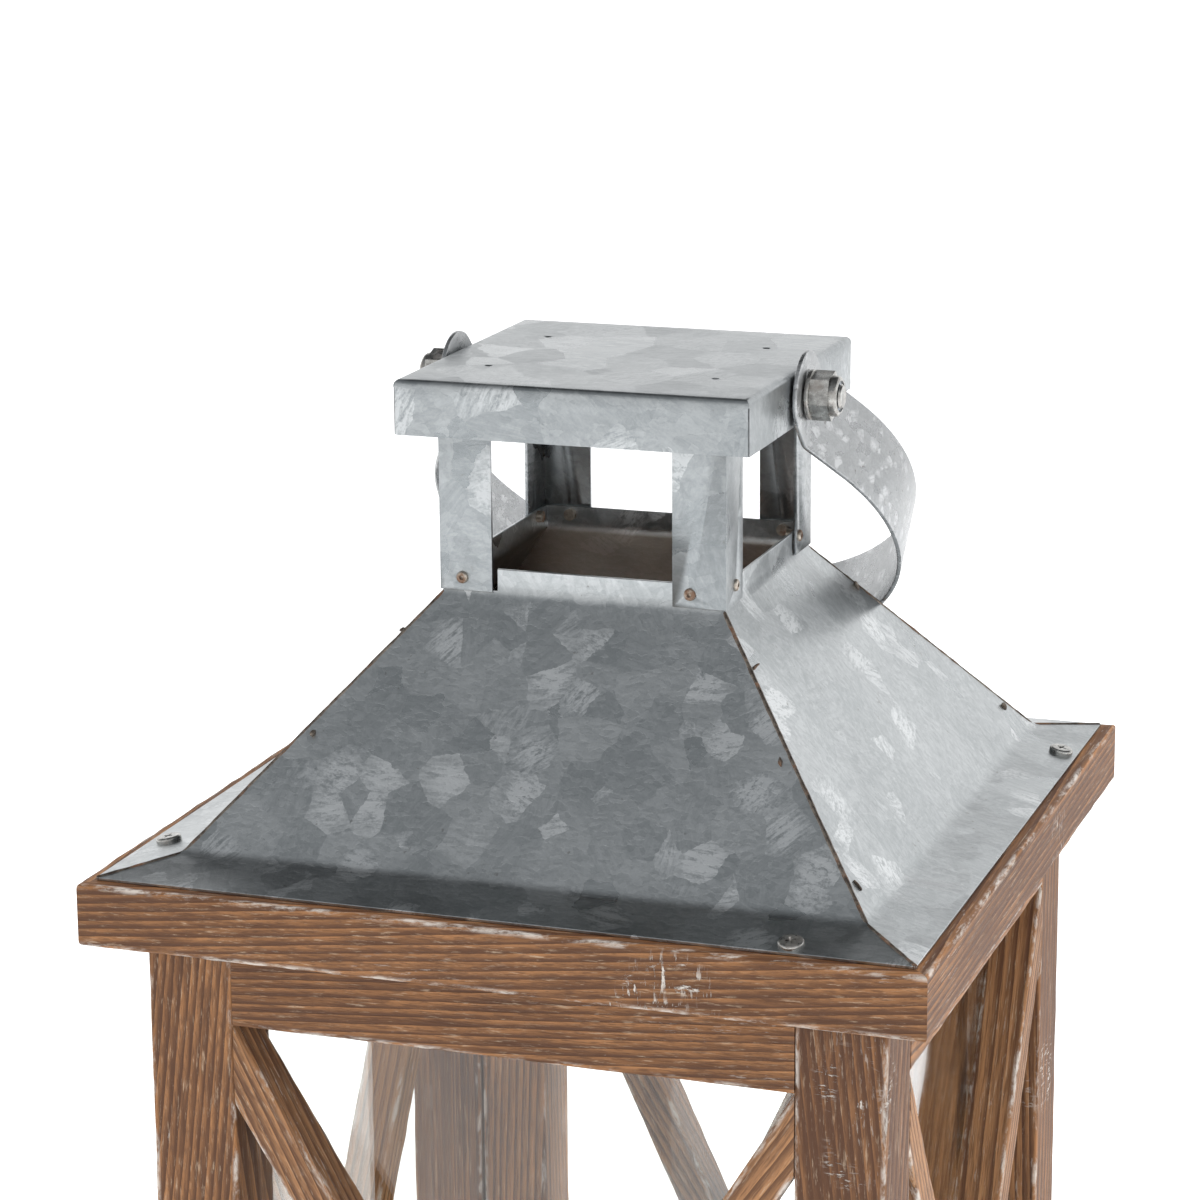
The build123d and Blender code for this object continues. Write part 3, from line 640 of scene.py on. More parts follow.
@dataclass(frozen=True)
class Finish:
    """A finish with its own material, made on first use."""

    label: str

    def shader(self, web: Web, surface: bpy.types.Node) -> None:
        """Feed the surface shader; each finish says how."""
        raise NotImplementedError

    def material(self) -> bpy.types.Material:
        """The finish's material."""
        found = bpy.data.materials.get(self.label)
        if found is not None:
            return found
        material = bpy.data.materials.new(self.label)
        material.use_nodes = True
        web = Web(material.node_tree)
        self.shader(web, material.node_tree.nodes["Principled BSDF"])
        return material

    def bump(self, web: Web, surface: bpy.types.Node, height: Feed, depth: float) -> None:
        """Roughen the surface by a height, with its depth in metres."""
        relief = web.add("Bump", Strength=1.0, Distance=depth, Height=height)
        web.feed(surface.inputs["Normal"], relief.outputs["Normal"])

    def group(self, web: Web, tree: bpy.types.NodeTree, **sockets: Feed) -> bpy.types.Node:
        """Place a shared group and feed its inputs."""
        node = web.add("Group", {"node_tree": tree})
        for key, value in sockets.items():
            web.feed(node.inputs[key], value)
        return node


@dataclass(frozen=True)
class StainedWood(Finish):
    """Brown-stained softwood with remains of whitewash."""

    dark: Shade
    light: Shade
    whitewash: float
    spots: tuple[tuple[float, float, float, float], ...] = ()

    def chips(self, web: Web) -> Feed:
        """Mask of the places where whitewash is left on the faces; each spot is x, y, z and reach."""
        place = web.add("TexCoord").outputs["Object"]
        mask: Feed = 0.0
        for x, y, z, reach in self.spots:
            gap = web.add("VectorMath", {"operation": "DISTANCE"})
            web.feed(gap.inputs[0], place)
            web.feed(gap.inputs[1], (x, y, z))
            mask = web.sum("MAXIMUM", mask, web.band(gap.outputs["Value"], reach * 0.55, reach, 1.0, 0.0))
        return mask

    def shader(self, web: Web, surface: bpy.types.Node) -> None:
        """Wood from the piece's own grain, arris and tone attributes."""
        grain = web.add("Attribute", {"attribute_name": "grain"}).outputs["Vector"]
        arris = web.add("Attribute", {"attribute_name": "arris"}).outputs["Fac"]
        tone = web.add("Attribute", {"attribute_name": "tone"}).outputs["Fac"]
        wood = self.group(web, Rig.wood(), Grain=grain, Arris=arris, Tone=tone, Whitewash=self.whitewash,
                          Chips=self.chips(web), Dark=self.dark, Light=self.light)
        web.feed(surface.inputs["Base Color"], wood.outputs["Color"])
        web.feed(surface.inputs["Roughness"], wood.outputs["Roughness"])
        surface.inputs["Specular IOR Level"].default_value = 0.35
        self.bump(web, surface, wood.outputs["Height"], 0.0006)


@dataclass(frozen=True)
class Galvanised(Finish):
    """Hot-dip galvanised sheet with visible spangle."""

    dull: Shade
    bright: Shade
    crystals: float
    contrast: float
    gloss: float
    stain: float = 0.35
    # How far sheet faces that point down are darkened by painted shade.
    soot: float = 0.0

    def shader(self, web: Web, surface: bpy.types.Node) -> None:
        """Spangle in the piece's own coordinates, darkened by painted shade where the sheet faces down."""
        place = web.add("TexCoord").outputs["Object"]
        zinc = self.group(web, Rig.spangle(), Vector=place, Crystals=self.crystals, Contrast=self.contrast,
                          Gloss=self.gloss, Stain=self.stain, Dull=self.dull, Bright=self.bright)
        surface.inputs["Metallic"].default_value = 1.0
        # Painted shade: faces that point down are darkened towards a dark brown.
        facing = web.add("SeparateXYZ", Vector=web.add("NewGeometry").outputs["Normal"]).outputs["Z"]
        shaded_below = web.band(facing, -0.55, -0.2, self.soot, 0.0)
        web.feed(surface.inputs["Base Color"], web.mix(shaded_below, zinc.outputs["Color"], UNDERSIDE_SHADE_COLOUR))
        web.feed(surface.inputs["Roughness"], zinc.outputs["Roughness"])
        self.bump(web, surface, zinc.outputs["Height"], 0.00008)


@dataclass(frozen=True)
class HandledMetal(Finish):
    """Plated or raw hardware with stains and rust."""

    dull: Shade
    bright: Shade
    rust: float
    gloss: float

    def shader(self, web: Web, surface: bpy.types.Node) -> None:
        """Tarnish in the piece's own coordinates."""
        place = web.add("TexCoord").outputs["Object"]
        metal = self.group(web, Rig.tarnish(), Vector=place, Rust=self.rust, Gloss=self.gloss, Dull=self.dull,
                           Bright=self.bright)
        web.feed(surface.inputs["Metallic"], metal.outputs["Metallic"])
        web.feed(surface.inputs["Base Color"], metal.outputs["Color"])
        web.feed(surface.inputs["Roughness"], metal.outputs["Roughness"])
        self.bump(web, surface, metal.outputs["Height"], 0.00004)


@dataclass(frozen=True)
class ClearGlass(Finish):
    """Thin window glass with a little dust and a green edge."""

    tint: Shade = (0.98, 0.993, 0.987, 1.0)

    def shader(self, web: Web, surface: bpy.types.Node) -> None:
        """Clear glass that lets light through to the inside."""
        place = web.add("TexCoord").outputs["Object"]
        smear = web.noise(place, 35.0, 4.0, 0.6)
        web.feed(surface.inputs["Roughness"], web.band(smear, 0.45, 0.8, 0.0, 0.05))
        dust = web.band(web.noise(place, 700.0), 0.7, 0.76, 0.0, 0.3)
        web.feed(surface.inputs["Base Color"], web.mix(dust, self.tint, DUST))
        surface.inputs["Transmission Weight"].default_value = 1.0
        surface.inputs["IOR"].default_value = 1.45
        rays = web.add("LightPath")
        passing = web.sum("MAXIMUM", rays.outputs["Is Shadow Ray"], rays.outputs["Is Diffuse Ray"])
        clear = web.add("BsdfTransparent", Color=self.tint)
        blend = web.add("MixShader")
        web.feed(blend.inputs[0], passing)
        web.feed(blend.inputs[1], surface.outputs["BSDF"])
        web.feed(blend.inputs[2], clear.outputs["BSDF"])
        output = web.tree.nodes["Material Output"]
        web.feed(output.inputs["Surface"], blend.outputs["Shader"])


@dataclass(frozen=True)
class Plastic(Finish):
    """Moulded plastic with a fine texture."""

    colour: Shade
    rough: float

    def shader(self, web: Web, surface: bpy.types.Node) -> None:
        """Plain colour broken up by fine moulding marks."""
        place = web.add("TexCoord").outputs["Object"]
        fine = web.noise(place, 1500.0, 3.0)
        darker = tuple(part * 0.6 for part in self.colour[:3]) + (1.0,)
        web.feed(surface.inputs["Base Color"], web.mix(web.band(fine, 0.35, 0.65), darker, self.colour))
        web.feed(surface.inputs["Roughness"], web.band(fine, 0.3, 0.7, self.rough - 0.08, self.rough + 0.08))
        self.bump(web, surface, fine, 0.00005)


# Places of whitewash left on the faces: x, y, z and reach, in metres.
CHIP_SPOTS = ((0.042, -0.100, 0.298, 0.013), (0.034, -0.100, 0.292, 0.009), (0.082, -0.0884, 0.278, 0.012),
              (0.081, -0.0884, 0.262, 0.009), (0.07, -0.0884, 0.24, 0.01), (0.100, 0.03, 0.30, 0.01),
              (0.0884, 0.075, 0.22, 0.012), (-0.0884, -0.02, 0.285, 0.012), (-0.03, 0.100, 0.3, 0.01))
FRAME_WOOD = StainedWood("frame wood", (0.080, 0.031, 0.012, 1), (0.37, 0.172, 0.066, 1), 0.9, CHIP_SPOTS)
BRACE_WOOD = StainedWood("brace wood", (0.090, 0.037, 0.016, 1), (0.39, 0.195, 0.085, 1), 1.1)
ROOF_ZINC = Galvanised("roof zinc", (0.33, 0.353, 0.362, 1), (0.70, 0.72, 0.73, 1), crystals=112.0,
                       contrast=0.75, gloss=0.34, soot=0.75)
CAP_ZINC = Galvanised("cap zinc", (0.215, 0.235, 0.245, 1), (0.52, 0.54, 0.55, 1), crystals=70.0,
                      contrast=0.7, gloss=0.32, stain=0.15, soot=0.75)
STRAP_ZINC = Galvanised("strap zinc", (0.27, 0.28, 0.285, 1), (0.58, 0.59, 0.60, 1), crystals=420.0,
                        contrast=0.6, gloss=0.3, stain=0.5)
ZINC_PLATE = HandledMetal("zinc plate", (0.24, 0.235, 0.225, 1), (0.52, 0.52, 0.50, 1), 0.2, 0.17)
RIVET_STEEL = HandledMetal("rivet steel", (0.32, 0.27, 0.22, 1), (0.62, 0.57, 0.5, 1), 0.85, 0.34)
OLD_STEEL = HandledMetal("antique steel", (0.13, 0.115, 0.10, 1), (0.30, 0.27, 0.24, 1), 0.35, 0.36)
WELD_SCALE_AND_SHADE = HandledMetal("weld scale", (0.09, 0.07, 0.06, 1), (0.3, 0.26, 0.22, 1), 0.7, 0.45)
GLASS = ClearGlass("window glass")
NYLON = Plastic("nut nylon", (0.62, 0.66, 0.72, 1), 0.4)
CATCH_BROWN = Plastic("catch plastic", (0.10, 0.05, 0.03, 1), 0.5)


def cover(piece: bpy.types.Object, finish: Finish) -> None:
    """Give every face of a piece one finish."""
    piece.data.materials.clear()
    piece.data.materials.append(finish.material())
    piece.data.polygons.foreach_set("material_index", [0] * len(piece.data.polygons))


def finish_piece(piece: bpy.types.Object, body: Body, slot: str, finish: Finish | None,
                 *nodes: str) -> None:
    """Dress a piece and tie it to the frame.

    Args:
        piece: the finished object.
        body: the rigid body that it rides on.
        slot: the record's material slot; not used.
        finish: what it is covered with, or None where it has its materials already.
        *nodes: the CAD nodes that it stands for.
    """
    if finish is not None:
        cover(piece, finish)
    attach(piece, body.value)
    if nodes:
        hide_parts(*nodes)
    LOG.info("%s: %d faces, rides on %s", piece.name, len(piece.data.polygons), body.value)


# ---------------------------------------------------------------- wood
@dataclass
class Board:
    """One stick of wood, worn at its arrises, with its grain stored on its vertices."""

    node: str
    along: Vector
    out: Vector
    body: Body = Body.LANTERN
    finish: StainedWood = FRAME_WOOD
    slot: str = "frame_wood"
    arris: float = 0.7 * MM
    wear: float = 0.22 * MM
    step: float = 7.0 * MM
    trims: list[tuple[Vector, Vector]] = field(default_factory=list)
    notch: Callable[[], list[bpy.types.Object]] | None = None
    tone: float = 0.0
    half_size: Vector | None = None
    middle: Vector | None = None
    support: tuple[float, float] = (1.4 * MM, 4.0 * MM)
    worn_band: float = 1.35 * MM

    def frame_axes(self) -> tuple[Vector, Vector, Vector]:
        """Unit vectors along the board, out of its face, and across it."""
        return self.along, self.out, self.along.cross(self.out)

    def rough_out(self) -> bpy.types.Object:
        """Saw the board to size from a cube, in its own axes."""
        low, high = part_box(self.node)
        if self.middle is None:
            self.middle = (low + high) / 2
        axes = self.frame_axes()
        if self.half_size is None:
            size = high - low
            self.half_size = Vector([abs(size.dot(axis)) / 2 for axis in axes])
        turn = Matrix((axes[0], axes[1], axes[2])).transposed().to_4x4()
        piece = Bench.block("finished_" + self.node, -self.half_size, self.half_size)
        self.shape_section(piece)
        piece.data.transform(Matrix.Translation(self.middle) @ turn)
        return piece

    def shape_section(self, piece: bpy.types.Object) -> None:
        """Round the arrises, add support lines beside them, and cut the length into steps."""
        _, half_out, half_across = self.half_size

        def runs_along(first: Vector, second: Vector) -> bool:
            """Whether an edge runs the length of the board."""
            return abs((second - first).x) > abs(self.half_size.x) * 1.9

        Bench.round_off(piece, runs_along, self.arris, 3)
        for axis, half in ((Vector((0, 1, 0)), half_out), (Vector((0, 0, 1)), half_across)):
            for hand in (-1, 1):
                for inset in self.support:
                    Bench.slice(piece, axis * hand * (half - inset), axis)
        Bench.divide(piece, runs_along, max(2, int(2 * self.half_size.x / self.step)))

    def mark(self, piece: bpy.types.Object) -> None:
        """Store grain, arris and tone, and wear the arrises down unevenly."""
        axes = self.frame_axes()
        half = self.half_size
        seed = sum(ord(letter) * (place + 3) for place, letter in enumerate(self.node)) % 997
        pith_out = 0.014 + (seed * 7 % 31) * 0.0011
        pith_across = 0.034 + (seed * 13 % 29) * 0.0022
        shift = Vector((seed * 0.137, pith_out, pith_across))
        lean = ((seed * 11) % 23 - 11) * 0.009
        mesh = piece.data
        worn = piece.vertex_groups.new(name="worn")
        grains: list[float] = []
        nearness: list[float] = []
        for vertex in mesh.vertices:
            place = vertex.co - self.middle
            spot = Vector([place.dot(axis) for axis in axes])
            grains.extend(spot + shift + Vector((0, spot.x * lean, spot.x * lean * 0.6)))
            gap_out = half.y - abs(spot.y)
            gap_across = half.z - abs(spot.z)
            near = max(0.0, 1.0 - max(gap_out, gap_across) / self.worn_band)
            nearness.append(min(1.0, near * 1.6))
            worn.add([vertex.index], min(1.0, near * 1.5), "REPLACE")
        tones = [self.tone + ((seed * 29) % 17 - 8) * 0.011] * len(mesh.vertices)
        for name, kind, key, values in (("grain", "FLOAT_VECTOR", "vector", grains),
                                        ("arris", "FLOAT", "value", nearness),
                                        ("tone", "FLOAT", "value", tones)):
            mesh.attributes.new(name, kind, "POINT").data.foreach_set(key, values)
        Bench.fit(piece, "DISPLACE", texture=clouds(self.node, 3.5 * MM), texture_coords="LOCAL",
                  mid_level=0.62, strength=self.wear * 2, vertex_group="worn")

    def build(self) -> bpy.types.Object:
        """Saw, shape, trim and dress the board.

        Returns:
            The finished board.
        """
        piece = self.rough_out()
        for point, normal in self.trims:
            Bench.slice(piece, point, normal, drop=True)
        if self.notch is not None:
            Bench.cut(piece, self.notch())
        Bench.tidy(piece)
        self.mark(piece)
        Bench.smooth(piece, 35.0)
        finish_piece(piece, self.body, self.slot, self.finish, self.node)
        return piece


@dataclass
class CrossBraces:
    """The X of two half-lapped bars on one side."""

    side: Side
    nodes: tuple[str, str]
    body: Body = Body.LANTERN
    face: float = 10.3 * MM
    rounds: int = 20

    def down(self, hand: int, width: float, rise: float) -> Vector:
        """Unit vector down a bar; its slope and its sawn end depend on each other, so in rounds.

        Args:
            hand: 1 for the bar that falls to the right, -1 to the left.
            width: width of the opening.
            rise: height of the opening.

        Returns:
            The bar's direction.
        """
        cut = self.face * rise / width
        for _ in range(self.rounds):
            cut = self.face * math.sqrt(1 + ((rise - cut) / width) ** 2)
        return (self.side.along * hand * width - UP * (rise - cut)).normalized()

    def build(self) -> None:
        """Make both bars of the X."""
        low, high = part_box(self.nodes[0])
        width = abs((high - low).dot(self.side.along))
        depth = abs((high - low).dot(self.side.outward))
        rise = high.z - low.z
        middle = (low + high) / 2
        half = Vector((math.hypot(width, rise) / 2 + self.face, depth / 2, self.face / 2))
        ends = [(middle + self.side.along * hand * width / 2, self.side.along * hand)
                for hand in (-1, 1)]
        for hand, node in zip((1, -1), self.nodes):

            def lap(hand: int = hand) -> list[bpy.types.Object]:
                """Cutter for the halving joint: the other bar's outline over half the depth."""
                other = self.down(-hand, width, rise)
                face_axes = (other, self.side.outward, other.cross(self.side.outward))
                turn = Matrix(face_axes).transposed().to_4x4()
                near, far = (0.0, half.y * 2) if hand > 0 else (-half.y * 2, 0.0)
                block = Bench.block("lap", Vector((-half.x, near, -half.z - 0.1 * MM)),
                                    Vector((half.x, far, half.z + 0.1 * MM)))
                block.data.transform(Matrix.Translation(middle) @ turn)
                return [block]

            Board(node, self.down(hand, width, rise), self.side.outward, self.body, BRACE_WOOD, "brace_wood",
                  arris=0.8 * MM, wear=0.3 * MM, step=5.0 * MM, trims=ends, notch=lap, tone=0.04,
                  half_size=half.copy(), middle=middle.copy()).build()


@dataclass
class WoodenFrame:
    """Base, posts, rails, braces and the mitred roof frame."""

    fixed: tuple[Side, ...] = (Side.FRONT, Side.RIGHT, Side.LEFT)

    def build(self) -> None:
        """Make every board of the fixed frame."""
        Board("base_board", Side.FRONT.along, UP, arris=1.4 * MM, wear=0.3 * MM).build()
        for corner in CORNERS:
            out = Side.FRONT.outward if corner.startswith("front") else Side.BACK.outward
            # Darker tone on the posts: painted shade, set against how brightly the lamps light them.
            Board(f"post_{corner}", UP, out, tone=-0.09).build()
        for side in self.fixed:
            for level in ("top", "bottom"):
                # Lighter tone on the rails: painted light, offsetting the shade under the roof frame's
                # overhang.
                Board(f"{level}_rail_{side.word}", side.along, side.outward, tone=0.06).build()
            CrossBraces(side, (f"brace_{side.word}_a", f"brace_{side.word}_b")).build()
        for side in Side:
            self.mitred_board(side)

    def mitred_board(self, side: Side) -> None:
        """One board of the roof frame, cut at 45 degrees at both ends."""
        low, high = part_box(f"roof_frame_{side.word}")
        level = Vector((0, 0, (low.z + high.z) / 2))
        cuts = [(level, (side.along * hand - side.outward).normalized()) for hand in (-1, 1)]
        Board(f"roof_frame_{side.word}", side.along, side.outward, trims=cuts, arris=0.8 * MM, wear=0.3 * MM,
              step=5.0 * MM, tone=-0.03).build()


# ---------------------------------------------------------------- sheet metal
@dataclass
class SheetRoof:
    """Four folded panels with their screws and weld marks."""

    sheet: float = 0.8 * MM
    eave_out: float = 82.0 * MM
    eave_rise: float = 3.6 * MM
    collar: float = 5.6 * MM
    fold: float = 1.6 * MM
    dent: float = 0.55 * MM
    seam: float = 0.2 * MM
    head: float = 1.25 * MM
    cells: int = 14
    hole: float = 1.7 * MM
    bead: float = 0.55 * MM
    bead_step: float = 1.5 * MM
    scab: float = 1.35 * MM
    dent_fade: float = 20.0 * MM
    slotted: dict[Side, int] = field(default_factory=lambda: {Side.FRONT: -1, Side.RIGHT: 1})

    def build(self) -> None:
        """Fold the panels, then add screws and marks."""
        for side in Side:
            self.panel(side)
        self.screws()
        self.weld_marks()
        self.seams()

    def levels(self) -> tuple[float, float, float, float]:
        """Flange's edge, collar's distance out, roof frame's top and collar's foot."""
        low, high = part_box("roof_panel_front")
        frame_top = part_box("roof_frame_front")[1].z
        return -low.y, -high.y + self.sheet, frame_top, high.z - self.collar

    def panel(self, side: Side) -> None:
        """One panel: flange, slope and collar, drawn as a strip, folded and given thickness."""
        edge, throat, base, foot = self.levels()
        bpy.ops.object.select_all(action="DESELECT")
        bpy.ops.mesh.primitive_plane_add(size=1.0, location=(0, 0, 0))
        piece = bpy.context.object
        piece.scale = (2 * (edge - self.seam), edge - self.eave_out, 1)
        piece.location = (0, -(edge + self.eave_out) / 2, base + self.sheet)
        Bench.name(piece, f"finished_roof_panel_{side.word}")
        rows = [(self.eave_out, base + self.eave_rise), (throat, foot), (throat, foot + self.collar)]
        out, rise = edge, base + self.sheet
        for place, (next_out, next_rise) in enumerate(rows):
            limit = -(self.eave_out if place == 0 else out) - 0.05 * MM
            level = rise - 0.1 * MM
            Bench.edit(piece, "VERT", lambda co, y=limit, z=level: co.y > y and co.z > z)
            if place:
                bpy.ops.mesh.extrude_region_move(
                    TRANSFORM_OT_translate={"value": (0, out - next_out, next_rise - rise)})
            else:
                bpy.ops.transform.translate(value=(0, 0, next_rise - rise))
            middle = (0, -next_out, next_rise)
            narrower = (next_out - self.seam) / (out - self.seam)
            bpy.ops.transform.resize(value=(narrower, 1, 1), center_override=middle)
            Bench.done()
            out, rise = next_out, next_rise
        folds = (base + self.eave_rise, foot)
        Bench.round_off(piece, lambda a, b: any(abs(a.z - z) + abs(b.z - z) < 2 * TOUCH for z in folds),
                        self.fold, 3)
        Bench.divide(piece, lambda a, b: abs(a.z - b.z) + abs(a.y - b.y) < TOUCH, self.cells)
        Bench.divide(piece, lambda a, b: abs(a.z - b.z) > 20 * MM, self.cells)
        piece.data.transform(Matrix.Rotation(math.radians(side.value), 4, "Z"))
        self.dent_field(piece, side, folds)
        self.face_out(piece, side)
        Bench.fit(piece, "SOLIDIFY", thickness=self.sheet, offset=-1.0)
        Bench.tidy(piece)
        Bench.fit(piece, "BEVEL", width=0.12 * MM, segments=1, limit_method="ANGLE",
                  angle_limit=math.radians(50))
        Bench.cut(piece, self.openings(side))
        Bench.smooth(piece, 40.0)
        finish_piece(piece, Body.LANTERN, "galvanised_sheet", ROOF_ZINC, f"roof_panel_{side.word}")

    def face_out(self, piece: bpy.types.Object, side: Side) -> None:
        """Turn the sheet's faces up and out, before it gets its thickness."""
        faces = piece.data.polygons
        tilt = sum(face.normal.dot(side.outward + UP) * face.area for face in faces)
        if tilt < 0:
            Bench.edit(piece, "FACE")
            bpy.ops.mesh.flip_normals()
            Bench.done()

    def dent_field(self, piece: bpy.types.Object, side: Side, folds: tuple[float, float]) -> None:
        """Oil-can the slope gently, keeping its folds and edges straight."""
        group = piece.vertex_groups.new(name="field")
        for vertex in piece.data.vertices:
            out = vertex.co.dot(side.outward)
            gap = min(abs(vertex.co.z - folds[0]), abs(vertex.co.z - folds[1]),
                      out - abs(vertex.co.dot(side.along)))
            inside = folds[0] < vertex.co.z < folds[1]
            weight = max(0.0, min(1.0, gap / self.dent_fade)) if inside else 0.0
            group.add([vertex.index], weight, "REPLACE")
        Bench.fit(piece, "DISPLACE", texture=clouds(f"dents {side.word}", 0.045), texture_coords="LOCAL",
                  mid_level=0.5, strength=self.dent * 2, vertex_group="field")

    def openings(self, side: Side) -> list[bpy.types.Object]:
        """Cutters for the collar's slot, where there is one, and for the screw's hole."""
        _, throat, base, foot = self.levels()
        spot = self.screw_spot(side)
        hole = Bench.rod("hole", Vector((spot.x, spot.y, base - 5 * MM)),
                         Vector((spot.x, spot.y, base + 20 * MM)), self.hole, 20)
        if side not in self.slotted:
            return [hole]
        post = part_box("cupola_post_front_left")
        hand = self.slotted[side]
        inner = -post[1].x + 0.4 * MM
        corner = side.along * hand * inner
        low = corner + side.outward * (throat - 3 * MM) + UP * (foot + 0.2 * MM)
        high = corner - side.along * hand * 1.5 * MM + side.outward * (throat + 3 * MM)
        high += UP * (foot + 10 * MM)
        box_low = Vector([min(a, b) for a, b in zip(low, high)])
        box_high = Vector([max(a, b) for a, b in zip(low, high)])
        return [Bench.block("slot", box_low, box_high), hole]

    def screw_spot(self, side: Side) -> Vector:
        """Where this side's screw stands, read from its node."""
        mesh = frame["nodes"]["roof_screws"].data
        points = [v.co for v in mesh.vertices]
        mine = [p for p in points if p.dot(side.outward) > max(abs(p.dot(side.along)), 85 * MM)]
        low = Vector([min(p[i] for p in mine) for i in range(3)])
        high = Vector([max(p[i] for p in mine) for i in range(3)])
        return Vector(((low.x + high.x) / 2, (low.y + high.y) / 2, high.z))

    def screws(self) -> None:
        """Pan heads with cross recesses, one turned differently from the next."""
        edge, _, base, _ = self.levels()
        slope = (self.eave_rise - self.sheet) / (edge - self.eave_out)
        pieces = []
        for place, side in enumerate(Side):
            spot = self.screw_spot(side)
            spot.z = base + self.sheet + (edge - spot.dot(side.outward)) * slope
            axis = (UP + side.outward * slope).normalized()
            turn = 25.0 + 47.0 * place
            pieces.append(PanHead(height=self.head).build(spot + axis * self.head, axis, turn))
        screws = Bench.join("finished_roof_screws", pieces)
        finish_piece(screws, Body.LANTERN, "zinc_hardware", ZINC_PLATE, "roof_screws")

    def weld_marks(self) -> None:
        """Small scabs of weld scale beside the hips."""
        _, throat, base, foot = self.levels()
        spots: list[Vector] = []
        for first, second, shares in ((Side.FRONT, Side.LEFT, (0.17, 0.55, 0.86)),
                                      (Side.FRONT, Side.RIGHT, (0.2, 0.5, 0.9)),
                                      (Side.BACK, Side.RIGHT, (0.22, 0.6, 0.88)),
                                      (Side.BACK, Side.LEFT, (0.15, 0.5, 0.84))):
            for place, share in enumerate(shares):
                out = throat + (self.eave_out - throat) * share
                rise = foot + (base + self.eave_rise - foot) * share
                face, other = (first, second) if place % 2 else (second, first)
                spots.append(face.outward * out + other.outward * (out - (2.2 + place) * MM) + UP * rise)
        pieces = []
        for place, spot in enumerate(spots):
            bpy.ops.object.select_all(action="DESELECT")
            bpy.ops.mesh.primitive_ico_sphere_add(subdivisions=3, radius=self.scab, location=spot)
            blob = bpy.context.object
            blob.rotation_euler = (0.5 + place, 0.2 * place, place * 1.3)
            blob.scale = (1.0 + 0.12 * (place % 4), 0.6, 0.24)
            Bench.name(blob, f"mark {place}")
            Bench.fit(blob, "DISPLACE", texture=clouds(f"scab {place}", 1.2 * MM), texture_coords="LOCAL",
                      strength=0.5 * MM, mid_level=0.5)
            Bench.smooth(blob, 60.0)
            pieces.append(blob)
        finish_piece(Bench.join("weld_marks", pieces), Body.LANTERN, "rivet_steel", WELD_SCALE_AND_SHADE)

    def seams(self) -> None:
        """A thin uneven dark bead in each hip, where the panels meet; its dark colour is partly scale and
        rust, partly painted shade beside the overlapping sheet edge.
        """
        edge, throat, base, foot = self.levels()
        beads = []
        for side in Side:
            corner = side.outward + side.along
            rows = ((edge, base + self.sheet), (self.eave_out, base + self.eave_rise), (throat, foot))
            for (low_out, low_rise), (high_out, high_rise) in zip(rows, rows[1:]):
                start, end = (corner * (out - 0.3 * MM) + UP * (rise - 0.2 * MM)
                              for out, rise in ((low_out, low_rise), (high_out, high_rise)))
                bead = Bench.rod("bead", start, end, self.bead, 8)
                axis = (end - start).normalized()
                for step in range(1, int((end - start).length / self.bead_step)):
                    Bench.slice(bead, start + axis * step * self.bead_step, axis)
                Bench.fit(bead, "DISPLACE", texture=clouds(f"bead {side.word}", 2.5 * MM),
                          texture_coords="LOCAL", strength=0.3 * MM, mid_level=0.5)
                beads.append(bead)
        beads = Bench.join("hip_seams", beads)
        Bench.smooth(beads, 60.0)
        # Dark scale colour on the hip beads: partly rust, partly painted shade along the hips.
        finish_piece(beads, Body.LANTERN, "galvanised_sheet", WELD_SCALE_AND_SHADE)


@dataclass
class PanHead:
    """A cross-recessed pan head screw, seen from its head down."""

    radius: float = 3.0 * MM
    height: float = 1.75 * MM
    shank: float = 1.5 * MM
    length: float = 13.0 * MM
    recess: tuple[float, float] = (1.75 * MM, 0.36 * MM)
    deep: float = 1.0 * MM
    taper: float = 0.45

    def build(self, top: Vector, axis: Vector, turn: float) -> bpy.types.Object:
        """Model a screw.

        Args:
            top: middle of the head's top.
            axis: unit vector out of the head.
            turn: how far the recess is turned, in degrees.

        Returns:
            The new object.
        """
        head = Bench.upright("screw", -self.height, 0.0, self.radius, 40)
        Bench.round_off(head, lambda a, b: min(a.z, b.z) > -TOUCH, self.height * 0.62, 6, 0.6)
        long, slim = self.recess
        for half_x, half_y in ((long, slim), (slim, long)):
            corner = Vector((half_x, half_y, self.deep))
            cross = Bench.block("recess", -corner, corner)
            Bench.narrow(cross, "FACE", lambda co: co.z < -self.deep * 0.9, self.taper, -self.deep)
            Bench.cut(head, [cross])
        shank = Bench.upright("shank", -self.length, -self.height, self.shank, 20)
        screw = Bench.join("screw", [head, shank])
        place = Matrix.Translation(top) @ Bench.aim(axis)
        screw.data.transform(place @ Matrix.Rotation(math.radians(turn), 4, "Z"))
        Bench.smooth(screw, 35.0)
        return screw


